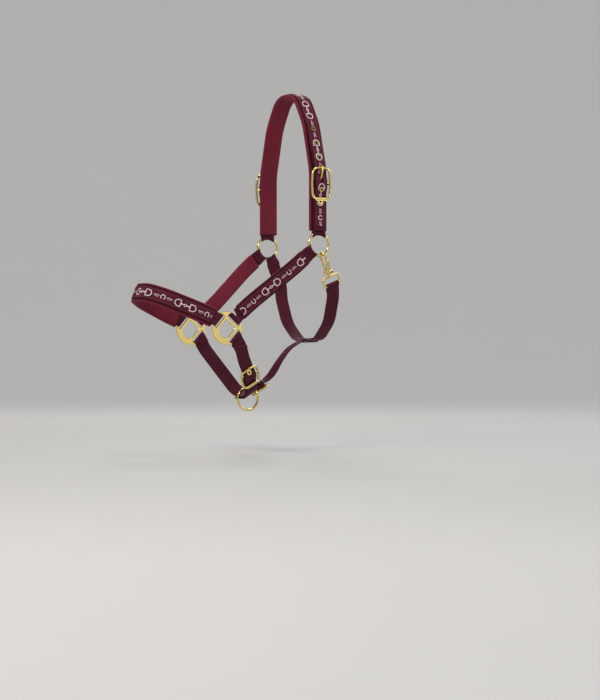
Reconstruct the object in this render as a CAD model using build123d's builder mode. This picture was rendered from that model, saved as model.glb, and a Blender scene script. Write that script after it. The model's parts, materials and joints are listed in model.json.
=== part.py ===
"""A padded webbing headcollar (stable halter) for a horse.

Frame: origin on the poll, at the underside of the crown pad on the midline.
+X is the horse's left (near) side, -Y points to the muzzle, +Z is up.
Every strap lies in a plane of its own, as a planar centreline with rounded corners,
so it is drawn edge-on as a thin band and extruded to its width.
"""
from build123d import *
from math import cos, hypot, radians, sin, sqrt
import os

# ---- driving dimensions, millimetres -------------------------------------------------
WEB_WIDTH = 25.0
WEB_THICK = 2.0
COVER_WIDTH = 22.0
COVER_THICK = 1.2
PAD_WIDTH = 34.0
PAD_THICK = 6.0
LINING_WIDTH = 28.0
LINING_THICK = 3.0
WIRE = 4.0                 # wire of the rings
RING_RADIUS = 20.0         # mean radius of the cheek rings and the lead ring
BAR = 4.0                  # bars of the squares, buckles and loops
FIT = 0.3                  # clearance between a strap and the metal in it
GAP = 0.25                 # clearance between straps lying on each other

RING_X = 92.0              # cheek rings, left and right of the midline
RING_Z = -262.0
SQUARE_X = 68.0            # halter squares
SQUARE_Y = -170.0
SQUARE_Z = -410.0
SQUARE_TILT = 48.5         # the cheek side of the square faces up and back by this angle
SQUARE_INNER = 14.0        # centre of the square to its inner bars
SQUARE_OUTER = 24.0        # centre of the square to its outer bars

NOSE_TILT = 22.2           # the noseband's plane falls by this angle towards the tail
NOSE_BRIDGE_Y = -303.5
NOSE_BRIDGE_Z = -347.0
CHIN_TILT = 60.2           # the chin strap's plane falls by this angle
THROAT_LEAN = 22.3         # the snap and its loop lean back from vertical
THROAT_DROP = 2.6          # the throat strap's own plane, from vertical

CROWN_BAR_TOP = -128.4     # crown buckle bars, heights
CROWN_BAR_MID = -156.0
CROWN_BAR_HEEL = -183.9
CROWN_FRAME_X = 100.6      # plane of the crown buckle frame
CROWN_MID_X = 95.5         # its centre bar sits lower
BUCKLE_INNER = 29.0        # inner width of every buckle and loop
EYELET_STEP = 28.0
EYELET_OUTER = 8.8
EYELET_RIM = 0.8           # thickness of an eyelet's flat rim
EYELET_HOLE = 4.2
SWIVEL_TURN = 20.0         # the snap hangs turned by this angle about its own axis

LEFT = "left"
RIGHT = "right"


# ---- small plane geometry ------------------------------------------------------------
def unit(degrees):
    """A direction in the side view: (Y, Z) at the given angle above the horizontal."""
    return Vector(0, cos(radians(degrees)), sin(radians(degrees)))


def shifted(corners, amount):
    """The corners of the line parallel to an open polyline, amount to its left."""
    lines = []
    for (ax, ay), (bx, by) in zip(corners, corners[1:]):
        length = hypot(bx - ax, by - ay)
        nx, ny = -(by - ay) / length, (bx - ax) / length
        lines.append((ax + nx * amount, ay + ny * amount, (bx - ax) / length, (by - ay) / length, length))
    result = [(lines[0][0], lines[0][1])]
    for (px, py, ux, uy, _), (qx, qy, vx, vy, _) in zip(lines, lines[1:]):
        along = ((qx - px) * vy - (qy - py) * vx) / (ux * vy - uy * vx)
        result.append((px + ux * along, py + uy * along))
    px, py, ux, uy, length = lines[-1]
    result.append((px + ux * length, py + uy * length))
    return result


def turn_signs(corners):
    """+1 where the polyline turns left at a corner, -1 where it turns right."""
    signs = []
    for (ax, ay), (bx, by), (cx, cy) in zip(corners, corners[1:], corners[2:]):
        cross = (bx - ax) * (cy - by) - (by - ay) * (cx - bx)
        signs.append(1 if cross > 0 else -1)
    return signs


def parallel(corners, radii, amount):
    """Corners and radii of the rounded line that runs parallel, amount to the left."""
    new_radii = [r - s * amount for r, s in zip(radii, turn_signs(corners))]
    return shifted(corners, amount), new_radii


def rounded_line(corners, radii):
    """A polyline with rounded corners, or a plain line where it has none."""
    if len(corners) == 2:
        return Line(*corners)
    return FilletPolyline(*corners, radius=radii)


def band(plane, corners, radii, low, high, width, name):
    """A strap: the band between two parallels of its centreline, extruded to its width."""
    first, first_radii = parallel(corners, radii, low)
    second, second_radii = parallel(corners, radii, high)
    with BuildPart() as strap:
        with BuildSketch(plane):
            with BuildLine():
                rounded_line(first, first_radii)
                rounded_line(second, second_radii)
                Line(first[0], second[0])
                Line(first[-1], second[-1])
            make_face()
        extrude(amount=width / 2, both=True)
    strap.part.label = name
    return strap.part


def fold(plane, bar, travel, tail, width, name, bar_size=BAR, spread=WEB_THICK / 2):
    """The folded end of a strap: a drop-shaped loop round a bar, closing to flat web.

    bar is the bar's place in the plane, travel how far the pocket reaches towards the
    tail because the bar is curved or oblique, tail where the two layers have met, and
    spread half the thickness there.
    """
    pocket = bar_size / 2 + FIT
    start = Vector(*bar)
    end = Vector(*tail)
    run = (end - start).normalized()
    reach = start + run * travel
    close = start + (end - start) * 0.7
    with BuildPart() as loop:
        with BuildSketch(plane):
            with Locations(start, reach):
                Circle(pocket + WEB_THICK)
            with Locations(end):
                Circle(spread)
            make_hull()
        extrude(amount=width / 2, both=True)
        with BuildSketch(plane):
            with Locations(start, reach):
                Circle(pocket)
            with Locations(close):
                Circle(GAP)
            make_hull()
        extrude(amount=width, both=True, mode=Mode.SUBTRACT)
    loop.part.label = name
    return loop.part


def envelope(plane, bar, tail, width):
    """The space that a folded end takes up, as a cutter for the layers sewn beside it."""
    with BuildPart() as space:
        with BuildSketch(plane):
            with Locations(bar):
                Circle(BAR / 2 + FIT + WEB_THICK + GAP)
            with Locations(tail):
                Circle(WEB_THICK / 2 + GAP)
            make_hull()
        extrude(amount=width / 2 + 2.0, both=True)
    return space.part


def joined(name, *pieces):
    """One solid from the pieces of a strap that is sewn through."""
    with BuildPart() as whole:
        for piece in pieces:
            add(piece)
    whole.part.label = name
    return whole.part


def trimmed(piece, *tools):
    """A piece with the given solids cut out of it."""
    with BuildPart() as whole:
        add(piece)
        for tool in tools:
            add(tool, mode=Mode.SUBTRACT)
    whole.part.label = piece.label
    return whole.part


def other_side(piece):
    """The same piece on the right side of the head."""
    return mirror(piece, about=Plane.YZ)


def save(piece, name):
    """Writes one node."""
    piece.label = name
    export_step(piece, "parts/" + name + ".step")


def save_pair(piece, name):
    """Writes the left piece and its mirror image."""
    save(piece, LEFT + "_" + name)
    save(other_side(piece), RIGHT + "_" + name)


# ---- metal ---------------------------------------------------------------------------
def wire_ring(centre, name):
    """A welded ring of round wire, lying in a plane across X."""
    with BuildPart() as ring:
        with BuildSketch(Plane(origin=centre, x_dir=(0, 1, 0), z_dir=(0, 0, 1))):
            with Locations((RING_RADIUS, 0)):
                Circle(WIRE / 2)
        revolve(axis=Axis(centre, (1, 0, 0)))
    ring.part.label = name
    return ring.part


def rounded_frame(plane, length, inner_width, bulge, corner=3.0, bar=BAR):
    """A cast frame of round bar whose long sides can bulge outwards a little."""
    half = inner_width / 2 + bar / 2
    end = length / 2 - bar / 2
    right = [(half, end), (half + bulge, 0), (half, -end)] if bulge else [(half, end), (half, -end)]
    left = [(-x, -y) for x, y in right]
    radii = [corner, 60.0, corner] * 2 if bulge else [corner] * 4
    with BuildPart() as frame:
        with BuildLine(plane) as path:
            FilletPolyline(*right, *left, radius=radii, close=True)
        with BuildSketch(Plane(origin=path.line @ 0, z_dir=path.line % 0)):
            Circle(bar / 2)
        sweep()
    return frame.part


def buckle(plane, length, inner_width, sink, name, mid_bar, corner):
    """A centre-bar buckle: the frame with a flat heel plate, and a bar that dips by sink."""
    half = inner_width / 2
    frame = rounded_frame(plane, length, inner_width, 2.0, corner)
    with BuildPart() as plate:
        with BuildSketch(plane):
            with Locations((0, BAR / 2 - length / 2 + 0.4)):
                RectangleRounded(23.0, 5.6, 2.0)
        extrude(amount=1.5, both=True)
    across = Plane(origin=plane.origin, x_dir=plane.x_dir, z_dir=plane.y_dir)
    with BuildPart() as bar:
        with BuildLine(across) as path:
            FilletPolyline(
                (-half - 4, 0), (-half + 0.5, sink), (half - 0.5, sink), (half + 4, 0), radius=2.0
            )
        with BuildSketch(Plane(origin=path.line @ 0, z_dir=path.line % 0)):
            Circle(mid_bar / 2)
        sweep()
    return joined(name, frame, plate.part, bar.part)


def tongue(plane, pivot, knee, tip, bend, mid_bar, name):
    """A buckle tongue: an eye round the centre bar and a bent wire."""
    thick = 3.0
    wire = band(plane, [pivot, knee, tip], [bend], -thick / 2, thick / 2, thick, name)
    with BuildPart() as eye:
        with BuildSketch(plane):
            with Locations(pivot):
                Circle(mid_bar / 2 + 1.8)
        extrude(amount=thick / 2, both=True)
        add(wire)
        with BuildSketch(plane):
            with Locations(pivot):
                Circle(mid_bar / 2 + 0.08)
        extrude(amount=thick, both=True, mode=Mode.SUBTRACT)
    return eye.part


def stations(plane, corners, radii, distances):
    """Planes on a strap's centreline, their Z pointing out of its left face."""
    with BuildLine(plane) as route:
        rounded_line(corners, radii)
    line = route.wire()
    planes = []
    for distance in distances:
        point = line.position_at(distance, position_mode=PositionMode.LENGTH)
        along = line.tangent_at(distance, position_mode=PositionMode.LENGTH)
        planes.append(Plane(origin=point, x_dir=along, z_dir=plane.z_dir.cross(along)))
    return planes


def eyelets(planes, low, high, name, seat=0.12):
    """A row of pressed eyelets: a barrel through the strap and a rolled rim on its face.

    seat keeps the flat rim clear of a strap that curves under it.
    """
    with BuildPart() as row:
        for spot in planes:
            with BuildSketch(spot.offset(low)):
                Circle(EYELET_HOLE / 2 + 0.5)
                Circle(EYELET_HOLE / 2, mode=Mode.SUBTRACT)
            extrude(amount=high - low + seat + EYELET_RIM / 2)
            with BuildSketch(spot.offset(high + seat)):
                Circle(EYELET_OUTER / 2)
                Circle(EYELET_HOLE / 2, mode=Mode.SUBTRACT)
            extrude(amount=EYELET_RIM)
    row.part.label = name
    return row.part


def drills(planes, reach):
    """Round cutters for the holes behind the eyelets."""
    with BuildPart() as row:
        for spot in planes:
            with BuildSketch(spot):
                Circle(EYELET_HOLE / 2 + 0.55)
            extrude(amount=reach, both=True)
    return row.part


def slot_cutter(spot, length, width, reach):
    """A cutter for the long slot that a tongue passes through."""
    with BuildPart() as cutter:
        with BuildSketch(spot):
            SlotOverall(length, width)
        extrude(amount=reach, both=True)
    return cutter.part


def box_cutter(plane, low, high, width):
    """A square cutter in a strap's plane, between two corners, for the tongue's slot."""
    with BuildPart() as cutter:
        with BuildSketch(plane):
            with Locations(((low[0] + high[0]) / 2, (low[1] + high[1]) / 2)):
                Rectangle(high[0] - low[0], high[1] - low[1])
        extrude(amount=width / 2, both=True)
    return cutter.part


# ---- where things are ----------------------------------------------------------------
ACROSS = Vector(1, 0, 0)
TO_CHIN = unit(SQUARE_TILT - 90)
TO_CHEEK = unit(SQUARE_TILT)
SQUARE = Vector(SQUARE_X, SQUARE_Y, SQUARE_Z)
SQUARE_MID = Vector(0, SQUARE_Y, SQUARE_Z)
RING = Vector(RING_X, 0, RING_Z)
NOSE_BAR = SQUARE_MID - TO_CHIN * SQUARE_OUTER
CHIN_BAR = SQUARE_MID + TO_CHIN * SQUARE_OUTER
CHEEK_BAR = SQUARE_MID + TO_CHEEK * SQUARE_OUTER


def side_plane(origin, direction):
    """A plane across the head: its X points left, its Y along a side-view direction."""
    return Plane(origin=origin, x_dir=ACROSS, z_dir=ACROSS.cross(direction))


CROWN = Plane.XZ
NOSE = side_plane((0, NOSE_BRIDGE_Y, NOSE_BRIDGE_Z), unit(-NOSE_TILT))
CHIN = side_plane(CHIN_BAR, unit(-CHIN_TILT))
DOWN_SNAP = unit(-90 + THROAT_LEAN)
SNAP_ACROSS = unit(THROAT_LEAN)
SNAP_LINE = side_plane((0, 0, RING_Z), DOWN_SNAP)
EYE_BAR = 75.0             # ring centre to the eye bar that carries the throat strap
THROAT = side_plane(Vector(0, 0, RING_Z) + DOWN_SNAP * EYE_BAR, unit(-90 + THROAT_DROP))
CHEEK_RUN = Vector(0, 0, RING_Z) - CHEEK_BAR
CHEEK_LENGTH = CHEEK_RUN.length
CHEEK_DIR = CHEEK_RUN.normalized()
CHEEK = Plane(origin=CHEEK_BAR, x_dir=CHEEK_DIR, z_dir=CHEEK_DIR.cross(ACROSS))


def ring_sag(width):
    """How far the ring's wire drops back across the width of a fold that hangs on it."""
    return RING_RADIUS - sqrt(RING_RADIUS ** 2 - (width / 2) ** 2) + 0.6


# ---- crown: pad, strap, printed cover, billets, buckles --------------------------------
PAD_FACE = RING_X - WEB_THICK                      # outer face of the crown pad, at the side
CROWN_SIDE = [(PAD_FACE, -132.0), (66.0, -48.0), (36.0, -3.0), (14.0, PAD_THICK)]
CROWN_SIDE_RADII = [90.0, 110.0, 40.0, 50.0]
PAD_END = RING_Z + RING_RADIUS + 4.0


def mirrored_route(side, radii):
    """A route over the head from its left half, given from the outside in."""
    right = [(-x, y) for x, y in side]
    return right + side[::-1], radii + radii[::-1]


def make_crown_pad():
    corners, radii = mirrored_route([(PAD_FACE, PAD_END)] + CROWN_SIDE, CROWN_SIDE_RADII)
    pad = band(CROWN, corners, radii, -PAD_THICK, 0, PAD_WIDTH, "crown_pad")
    hollow = envelope(CROWN, (RING_X, RING_Z + RING_RADIUS), (RING_X, RING_Z + RING_RADIUS + 15), WEB_WIDTH)
    return trimmed(pad, hollow, other_side(hollow))


# The strap's webbing, by the heights and offsets where it threads the buckle.
DOUBLE = RING_X + WEB_THICK                        # outer face of the doubled billet
STRAP_LOW = DOUBLE + GAP + WEB_THICK / 2
STRAP_MID = CROWN_MID_X + 1.7 + FIT + WEB_THICK + GAP + WEB_THICK / 2
STRAP_REST = GAP + WEB_THICK / 2
STRAP_TAIL = PAD_END - 0.5
STRAP_SIDE = [
    (STRAP_LOW + 2.6, STRAP_TAIL),
    (STRAP_LOW, STRAP_TAIL + 15),
    (STRAP_LOW, CROWN_BAR_HEEL + 6),
    (STRAP_MID, CROWN_BAR_MID - 6),
    (STRAP_MID, CROWN_BAR_MID + 6),
    (STRAP_LOW, CROWN_BAR_TOP - 6),
    (STRAP_LOW, CROWN_BAR_TOP + 5),
    (PAD_FACE + STRAP_REST, CROWN_BAR_TOP + 20),
]
STRAP_SIDE_RADII = [40.0, 14.0, 12.0, 12.0, 14.0, 16.0, 25.0]


def crown_strap_route():
    """The crown strap's centreline, threaded through both buckles."""
    half = [(PAD_FACE, -100.0)] + CROWN_SIDE[1:] + [(-CROWN_SIDE[-1][0], PAD_THICK)]
    side = STRAP_SIDE + shifted(half, -STRAP_REST)[1:4]
    return mirrored_route(side, STRAP_SIDE_RADII + CROWN_SIDE_RADII[1:])


EYELET_HEEL = 51.2         # from the strap's end to the eyelet under the buckle's heel
EYELET_NEXT = 74.2         # and to the one inside the frame; the tongue takes the second
EYELET_PLACES = [EYELET_HEEL] + [EYELET_NEXT + EYELET_STEP * n for n in (0, 2, 3, 4)]


def make_crown_strap():
    corners, radii = crown_strap_route()
    strap = band(CROWN, corners, radii, -WEB_THICK / 2, WEB_THICK / 2, WEB_WIDTH, "crown_strap")
    top = WEB_THICK / 2 + 0.02
    cover = band(CROWN, corners, radii, top, top + COVER_THICK, COVER_WIDTH, "crown_cover")
    right_spots = stations(CROWN, corners, radii, EYELET_PLACES)
    low = (-STRAP_MID - 6, CROWN_BAR_MID + 4)
    slot = box_cutter(CROWN, low, (-STRAP_LOW + 6, CROWN_BAR_TOP - 1), 5.0)
    holes = drills(right_spots, 8.0)
    tools = [slot, holes, other_side(slot), other_side(holes)]
    row = eyelets(right_spots, -WEB_THICK / 2, WEB_THICK / 2 + COVER_THICK, "eyelets")
    return trimmed(strap, *tools), trimmed(cover, *tools), row


def make_crown_billet():
    """The doubled web that joins a cheek ring to the centre bar of its buckle."""
    drop = ring_sag(WEB_WIDTH)
    low = RING_Z + RING_RADIUS + 11.0
    high = CROWN_BAR_MID - 18.0
    ring_fold = fold(
        CROWN, (RING_X, RING_Z + RING_RADIUS - drop), drop, (RING_X, low), WEB_WIDTH,
        "ring_fold", WIRE, WEB_THICK,
    )
    bar_fold = fold(
        CROWN, (CROWN_MID_X, CROWN_BAR_MID), 0.5, (RING_X, high), WEB_WIDTH, "bar_fold", 3.4,
        WEB_THICK,
    )
    middle = band(
        CROWN, [(RING_X, low - 1), (RING_X, high + 1)], [], -WEB_THICK, WEB_THICK, WEB_WIDTH,
        "middle",
    )
    billet = joined("crown_billet", ring_fold, middle, bar_fold)
    slot = box_cutter(CROWN, (RING_X - 6, CROWN_BAR_MID - 9), (RING_X + 14, CROWN_BAR_MID + 9), 5.0)
    return trimmed(billet, slot)


def make_crown_buckle():
    middle = (CROWN_BAR_TOP + CROWN_BAR_HEEL) / 2
    plane = Plane(origin=(CROWN_FRAME_X, 0, middle), x_dir=(0, 1, 0), z_dir=(1, 0, 0))
    length = CROWN_BAR_TOP - CROWN_BAR_HEEL + BAR
    return buckle(plane, length, BUCKLE_INNER, CROWN_FRAME_X - CROWN_MID_X, "crown_buckle", 3.4, 11.0)


def make_crown_tongue():
    rest = CROWN_FRAME_X + BAR / 2 + GAP + 1.5
    pivot = (CROWN_MID_X, (CROWN_BAR_TOP + CROWN_BAR_HEEL) / 2)
    return tongue(CROWN, pivot, (rest, CROWN_BAR_TOP - 6), (rest, CROWN_BAR_TOP + 3), 6.0, 3.4, "tongue")


# ---- halter square and cheek strap -----------------------------------------------------
SQUARE_FOLD = 24.5         # widths of the folds, where the web gathers on the metal
CHEEK_FOLD = 22.0
THROAT_FOLD = 16.0


def make_square():
    """A cast square: a window, three strap slots round it and a bowed band on the nose side."""
    thick = 3.4
    slot_mid = (SQUARE_INNER + SQUARE_OUTER) / 2 + 0.2
    slot_gap = 5.4
    reach = SQUARE_OUTER + 2.0
    face = Plane(origin=SQUARE, x_dir=TO_CHIN, z_dir=TO_CHIN.cross(TO_CHEEK))
    with BuildPart() as square:
        with BuildSketch(face):
            with BuildLine():
                Polyline(
                    (-19, -20), (-reach, -14.5), (-reach, 16), (-16, reach), (16, reach),
                    (reach, 16), (reach, -14.5), (19, -20),
                )
                ThreePointArc((19, -20), (0, -27.5), (-19, -20))
            make_face()
            RectangleRounded(23.4, 23.4, 2.0, mode=Mode.SUBTRACT)
            with BuildLine():
                ThreePointArc((11.7, -9.0), (0, -16.5), (-11.7, -9.0))
                Line((-11.7, -9.0), (11.7, -9.0))
            make_face(mode=Mode.SUBTRACT)
            with Locations((slot_mid, 0), (-slot_mid, 0)):
                Rectangle(slot_gap, 26.6, mode=Mode.SUBTRACT)
            with Locations((0, slot_mid)):
                Rectangle(26.6, slot_gap, mode=Mode.SUBTRACT)
        extrude(amount=thick / 2, both=True)
        outer = square.faces().sort_by(Axis.X)[-1]
        inner = square.faces().sort_by(Axis.X)[0]
        chamfer(outer.edges() + inner.edges(), 0.8)
        with BuildSketch(face.offset(thick / 2 if face.z_dir.X > 0 else -thick / 2)):
            with BuildLine() as groove:
                ThreePointArc((16.5, -17.2), (0, -22.4), (-16.5, -17.2))
            trace(line_width=3.2)
        extrude(amount=0.5, both=True, mode=Mode.SUBTRACT)
    square.part.label = "square"
    return square.part


def make_cheek():
    """Cheek webbing with a fold at each end, its printed cover and its lining."""
    end = CHEEK_LENGTH - RING_RADIUS
    near = 7.0
    far = end - 9.0
    route = [(near, SQUARE_X), (42.0, SQUARE_X), (140.0, RING_X), (far, RING_X)]
    radii = [150.0, 150.0]
    webbing = band(CHEEK, route, radii, -WEB_THICK / 2, WEB_THICK / 2, WEB_WIDTH, "webbing")
    fold_plane = side_plane(CHEEK_BAR, TO_CHEEK)
    low_fold = fold(fold_plane, (SQUARE_X, 0), 0.5, (SQUARE_X, 10), SQUARE_FOLD, "low")
    drop = ring_sag(CHEEK_FOLD)
    high_fold = fold(CHEEK, (end + drop, RING_X), drop, (end - 12, RING_X), CHEEK_FOLD, "high", WIRE)
    layered = [(near + 3, SQUARE_X)] + route[1:3] + [(far - 5, RING_X)]
    top = WEB_THICK / 2 + 0.05
    cover = band(CHEEK, layered, radii, top, top + COVER_THICK, COVER_WIDTH, "cover")
    lining = band(CHEEK, layered, radii, -top - LINING_THICK, -top, LINING_WIDTH, "lining")
    space = envelope(fold_plane, (SQUARE_X, 0), (SQUARE_X, 10), SQUARE_FOLD)
    webbing = joined("cheek_webbing", low_fold, webbing, high_fold)
    return webbing, trimmed(cover, space), trimmed(lining, space)


# ---- noseband --------------------------------------------------------------------------
NOSE_BAR_AT = (NOSE_BAR.Y - NOSE_BRIDGE_Y) / cos(radians(NOSE_TILT))
NOSE_SIDE = [(SQUARE_X, 98.0), (50.0, 30.0), (25.0, 0.0)]
NOSE_RADII = [90.0, 60.0, 30.0]


def nose_route(start):
    """The noseband's centreline, from the right end over the nose to the left end."""
    return mirrored_route([(SQUARE_X, start)] + NOSE_SIDE, NOSE_RADII)


def make_noseband():
    web_end = NOSE_BAR_AT - 7.0
    pad_end = NOSE_BAR_AT - 9.0
    corners, radii = nose_route(web_end)
    webbing = band(NOSE, corners, radii, -WEB_THICK / 2, WEB_THICK / 2, WEB_WIDTH, "webbing")
    fold_plane = side_plane(NOSE_BAR, -TO_CHIN)
    end_fold = fold(fold_plane, (SQUARE_X, 0), 0.5, (SQUARE_X, 10), SQUARE_FOLD, "fold")
    space = envelope(fold_plane, (SQUARE_X, 0), (SQUARE_X, 10), SQUARE_FOLD)
    corners, radii = nose_route(pad_end)
    top = WEB_THICK / 2 + 0.05
    cover = band(NOSE, corners, radii, -top - COVER_THICK, -top, COVER_WIDTH, "noseband_cover")
    pad = band(NOSE, corners, radii, top, top + PAD_THICK, PAD_WIDTH, "noseband_pad")
    webbing = joined("noseband_webbing", webbing, end_fold, other_side(end_fold))
    spaces = [space, other_side(space)]
    return webbing, trimmed(cover, *spaces), trimmed(pad, *spaces)


# ---- chin: billet, buckle, strap, eyelets, lead ring -------------------------------------
CHIN_DEPTH = 112.0
CHIN_CORNERS = [(SQUARE_X, 22.0), (30.0, 103.0), (14.0, CHIN_DEPTH)]
CHIN_RADII = [40.0, 20.0, 30.0]
CHIN_HEEL = 13.5           # along the straight from the lower corner up to the square
CHIN_MID = 30.5
CHIN_TOP = 47.5
CHIN_FRAME_OUT = 6.6
CHIN_MID_OUT = 3.0
CHIN_OVER = WEB_THICK + GAP + WEB_THICK / 2        # strap centre over the doubled billet


def chin_point(along, out):
    """A point beside the straight that carries the chin buckle."""
    low = Vector(*CHIN_CORNERS[1])
    run = (Vector(*CHIN_CORNERS[0]) - low).normalized()
    spot = low + run * along + Vector(-run.Y, run.X) * out
    return (spot.X, spot.Y)


def make_chin_billet():
    """The far side's web: off the right square, under the chin, round the centre bar."""
    right = [(-x, y) for x, y in CHIN_CORNERS]
    corners = [(-SQUARE_X, 7.0)] + right + CHIN_CORNERS[:0:-1] + [chin_point(CHIN_MID - 9, 0)]
    radii = CHIN_RADII + CHIN_RADII[:0:-1]
    single = band(CHIN, corners, radii, -WEB_THICK / 2, WEB_THICK / 2, WEB_WIDTH, "single")
    end_fold = other_side(
        fold(side_plane(CHIN_BAR, TO_CHIN), (SQUARE_X, 0), 0.5, (SQUARE_X, 10), SQUARE_FOLD, "fold")
    )
    bar_fold = fold(
        CHIN, chin_point(CHIN_MID, CHIN_MID_OUT), 0.5, chin_point(CHIN_MID - 11, 0), WEB_WIDTH,
        "bar_fold", 3.2, WEB_THICK,
    )
    billet = joined("chin_billet", end_fold, single, bar_fold)
    return trimmed(billet, tongue_slot())


def tongue_slot():
    """The slot that the chin tongue works in, through the billet's fold."""
    low = Vector(*CHIN_CORNERS[1])
    run = (Vector(*CHIN_CORNERS[0]) - low).normalized()
    spot = Plane(
        origin=CHIN.from_local_coords(Vector(*chin_point(CHIN_MID, CHIN_MID_OUT))),
        x_dir=CHIN.x_dir * run.X + CHIN.y_dir * run.Y,
        z_dir=CHIN.x_dir * -run.Y + CHIN.y_dir * run.X,
    )
    return slot_cutter(spot, 18.0, 5.0, 9.0)


def chin_strap_route():
    """The near side's strap, from its tail under the chin up through the buckle."""
    over = shifted([(-40.0, CHIN_DEPTH)] + CHIN_CORNERS[::-1], CHIN_OVER)
    flat = CHIN_OVER + 0.05
    rise = CHIN_MID_OUT + 1.6 + FIT + WEB_THICK + GAP + WEB_THICK / 2
    corners = [(-22.0, over[0][1]), over[1], over[2]]
    corners += [
        chin_point(CHIN_HEEL + 5, flat), chin_point(CHIN_MID - 4.5, rise),
        chin_point(CHIN_MID + 4.5, rise), chin_point(CHIN_TOP - 2.5, flat),
        chin_point(CHIN_TOP + 4, flat), chin_point(CHIN_TOP + 18, 0),
        (SQUARE_X, 22.0), (SQUARE_X, 7.0),
    ]
    return corners, [33.0, 20.0, 5.0, 5.0, 5.0, 5.0, 16.0, 16.0, 14.0]


def make_chin_strap():
    corners, radii = chin_strap_route()
    strap = band(CHIN, corners, radii, -WEB_THICK / 2, WEB_THICK / 2, WEB_WIDTH, "strap")
    fold_plane = side_plane(CHIN_BAR, TO_CHIN)
    end_fold = fold(fold_plane, (SQUARE_X, 0), 0.5, (SQUARE_X, 10), SQUARE_FOLD, "fold")
    strap = joined("chin_strap", strap, end_fold)
    with BuildLine(CHIN) as route:
        rounded_line(corners, radii)
    whole = route.wire().length
    spots = stations(CHIN, corners, radii, [8.0, whole - 65.2])
    strap = trimmed(strap, drills(spots, 6.0))
    return strap, eyelets(spots, -WEB_THICK / 2, WEB_THICK / 2, "chin_eyelets", 0.35)


def make_chin_buckle():
    low = Vector(*CHIN_CORNERS[1])
    run = (Vector(*CHIN_CORNERS[0]) - low).normalized()
    along = CHIN.x_dir * run.X + CHIN.y_dir * run.Y
    middle = chin_point(CHIN_MID, CHIN_FRAME_OUT)
    out = CHIN.x_dir * -run.Y + CHIN.y_dir * run.X
    plane = Plane(origin=CHIN.from_local_coords(Vector(*middle)), x_dir=along.cross(out), z_dir=out)
    sink = CHIN_FRAME_OUT - CHIN_MID_OUT
    return buckle(plane, CHIN_TOP - CHIN_HEEL + BAR, BUCKLE_INNER, sink, "chin_buckle", 3.2, 9.0)


def make_chin_tongue():
    """It lies unused under the strap, reaching as far as the frame's top bar."""
    pivot = chin_point(CHIN_MID, CHIN_MID_OUT)
    knee = chin_point(CHIN_TOP - 9.0, 1.2)
    return tongue(CHIN, pivot, knee, chin_point(CHIN_TOP + 0.5, 0.3), 20.0, 3.2, "chin_tongue")


LEAD_RING = CHIN.from_local_coords(Vector(0, CHIN_DEPTH + 10.9))
JOWL_BAR = Vector(8.5, -69.5, -518.0)              # front bar of the jowl loop, its middle
JOWL_BAR_DIR = Vector(0.42, 0.73, 0.545).normalized()
JOWL_DEPTH_DIR = Vector(-0.899, 0.418, 0.131)
JOWL_DEPTH_DIR = (JOWL_DEPTH_DIR - JOWL_BAR_DIR * JOWL_DEPTH_DIR.dot(JOWL_BAR_DIR)).normalized()
JOWL_DEPTH = 17.0
JOWL_WEB = 18.0


def make_jowl_loop():
    """The rectangular loop that the lead ring and the jowl strap both pass through."""
    plane = Plane(
        origin=JOWL_BAR + JOWL_DEPTH_DIR * (JOWL_DEPTH / 2), x_dir=JOWL_BAR_DIR,
        z_dir=JOWL_BAR_DIR.cross(JOWL_DEPTH_DIR),
    )
    loop = rounded_frame(plane, JOWL_DEPTH + BAR, 28.0, 0)
    loop.label = "jowl_loop"
    return loop


def section(point, width_dir, along, width, thick):
    """One cross-section of a twisting strap."""
    with BuildSketch(Plane(origin=point, x_dir=width_dir, z_dir=along)) as piece:
        Rectangle(width, thick)
    return piece.sketch


def make_jowl_strap():
    """A strap that twists from the jowl loop up to a sleeve round the throat strap."""
    hold = JOWL_BAR + JOWL_DEPTH_DIR * JOWL_DEPTH + JOWL_BAR_DIR * 2.5
    lift = Vector(0.0, 0.6, 0.8)
    away = (lift - JOWL_BAR_DIR * lift.dot(JOWL_BAR_DIR)).normalized()
    fold_plane = Plane(origin=hold, x_dir=away.cross(JOWL_BAR_DIR), z_dir=JOWL_BAR_DIR)
    end = fold(fold_plane, (0, 0), 0.5, (0, 12), JOWL_WEB, "end", BAR + 0.2, 1.2)
    sleeve_mid = THROAT.from_local_coords(Vector(0, THROAT_DEPTH))
    points = [
        hold + away * 11.0, Vector(-3, -44, -492), Vector(0, -26, -465), Vector(0, -7, -444),
        sleeve_mid + Vector(0, -14.2, -0.6),
    ]
    widths = [
        JOWL_BAR_DIR, Vector(0.66, 0.58, 0.48), Vector(0.88, 0.38, 0.28), Vector(1, 0.1, 0),
        Vector(1, 0, 0),
    ]
    sections = []
    for n, point in enumerate(points):
        along = (points[min(n + 1, 4)] - points[max(n - 1, 0)]).normalized()
        across = (widths[n] - along * widths[n].dot(along)).normalized()
        sections.append(section(point, across, along, JOWL_WEB, 2.4))
    with BuildPart() as run:
        loft(sections, ruled=True)
    with BuildPart() as sleeve:
        with BuildSketch(Plane.YZ):
            with Locations(Pos(sleeve_mid.Y, sleeve_mid.Z) * Rot(0, 0, THROAT_DROP)):
                RectangleRounded(32.0, 7.4, 3.0)
                RectangleRounded(27.0, 3.2, 1.4, mode=Mode.SUBTRACT)
        extrude(amount=JOWL_WEB / 2 + 0.6, both=True)
    return joined("jowl_strap", end, run.part, sleeve.part)


# ---- throat strap and snap -----------------------------------------------------------------
THROAT_DEPTH = 98.0
THROAT_SIDE = [(RING_X, 22.0), (74.0, 66.0), (34.0, THROAT_DEPTH)]
THROAT_RADII = [45.0, 50.0, 45.0]


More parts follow.
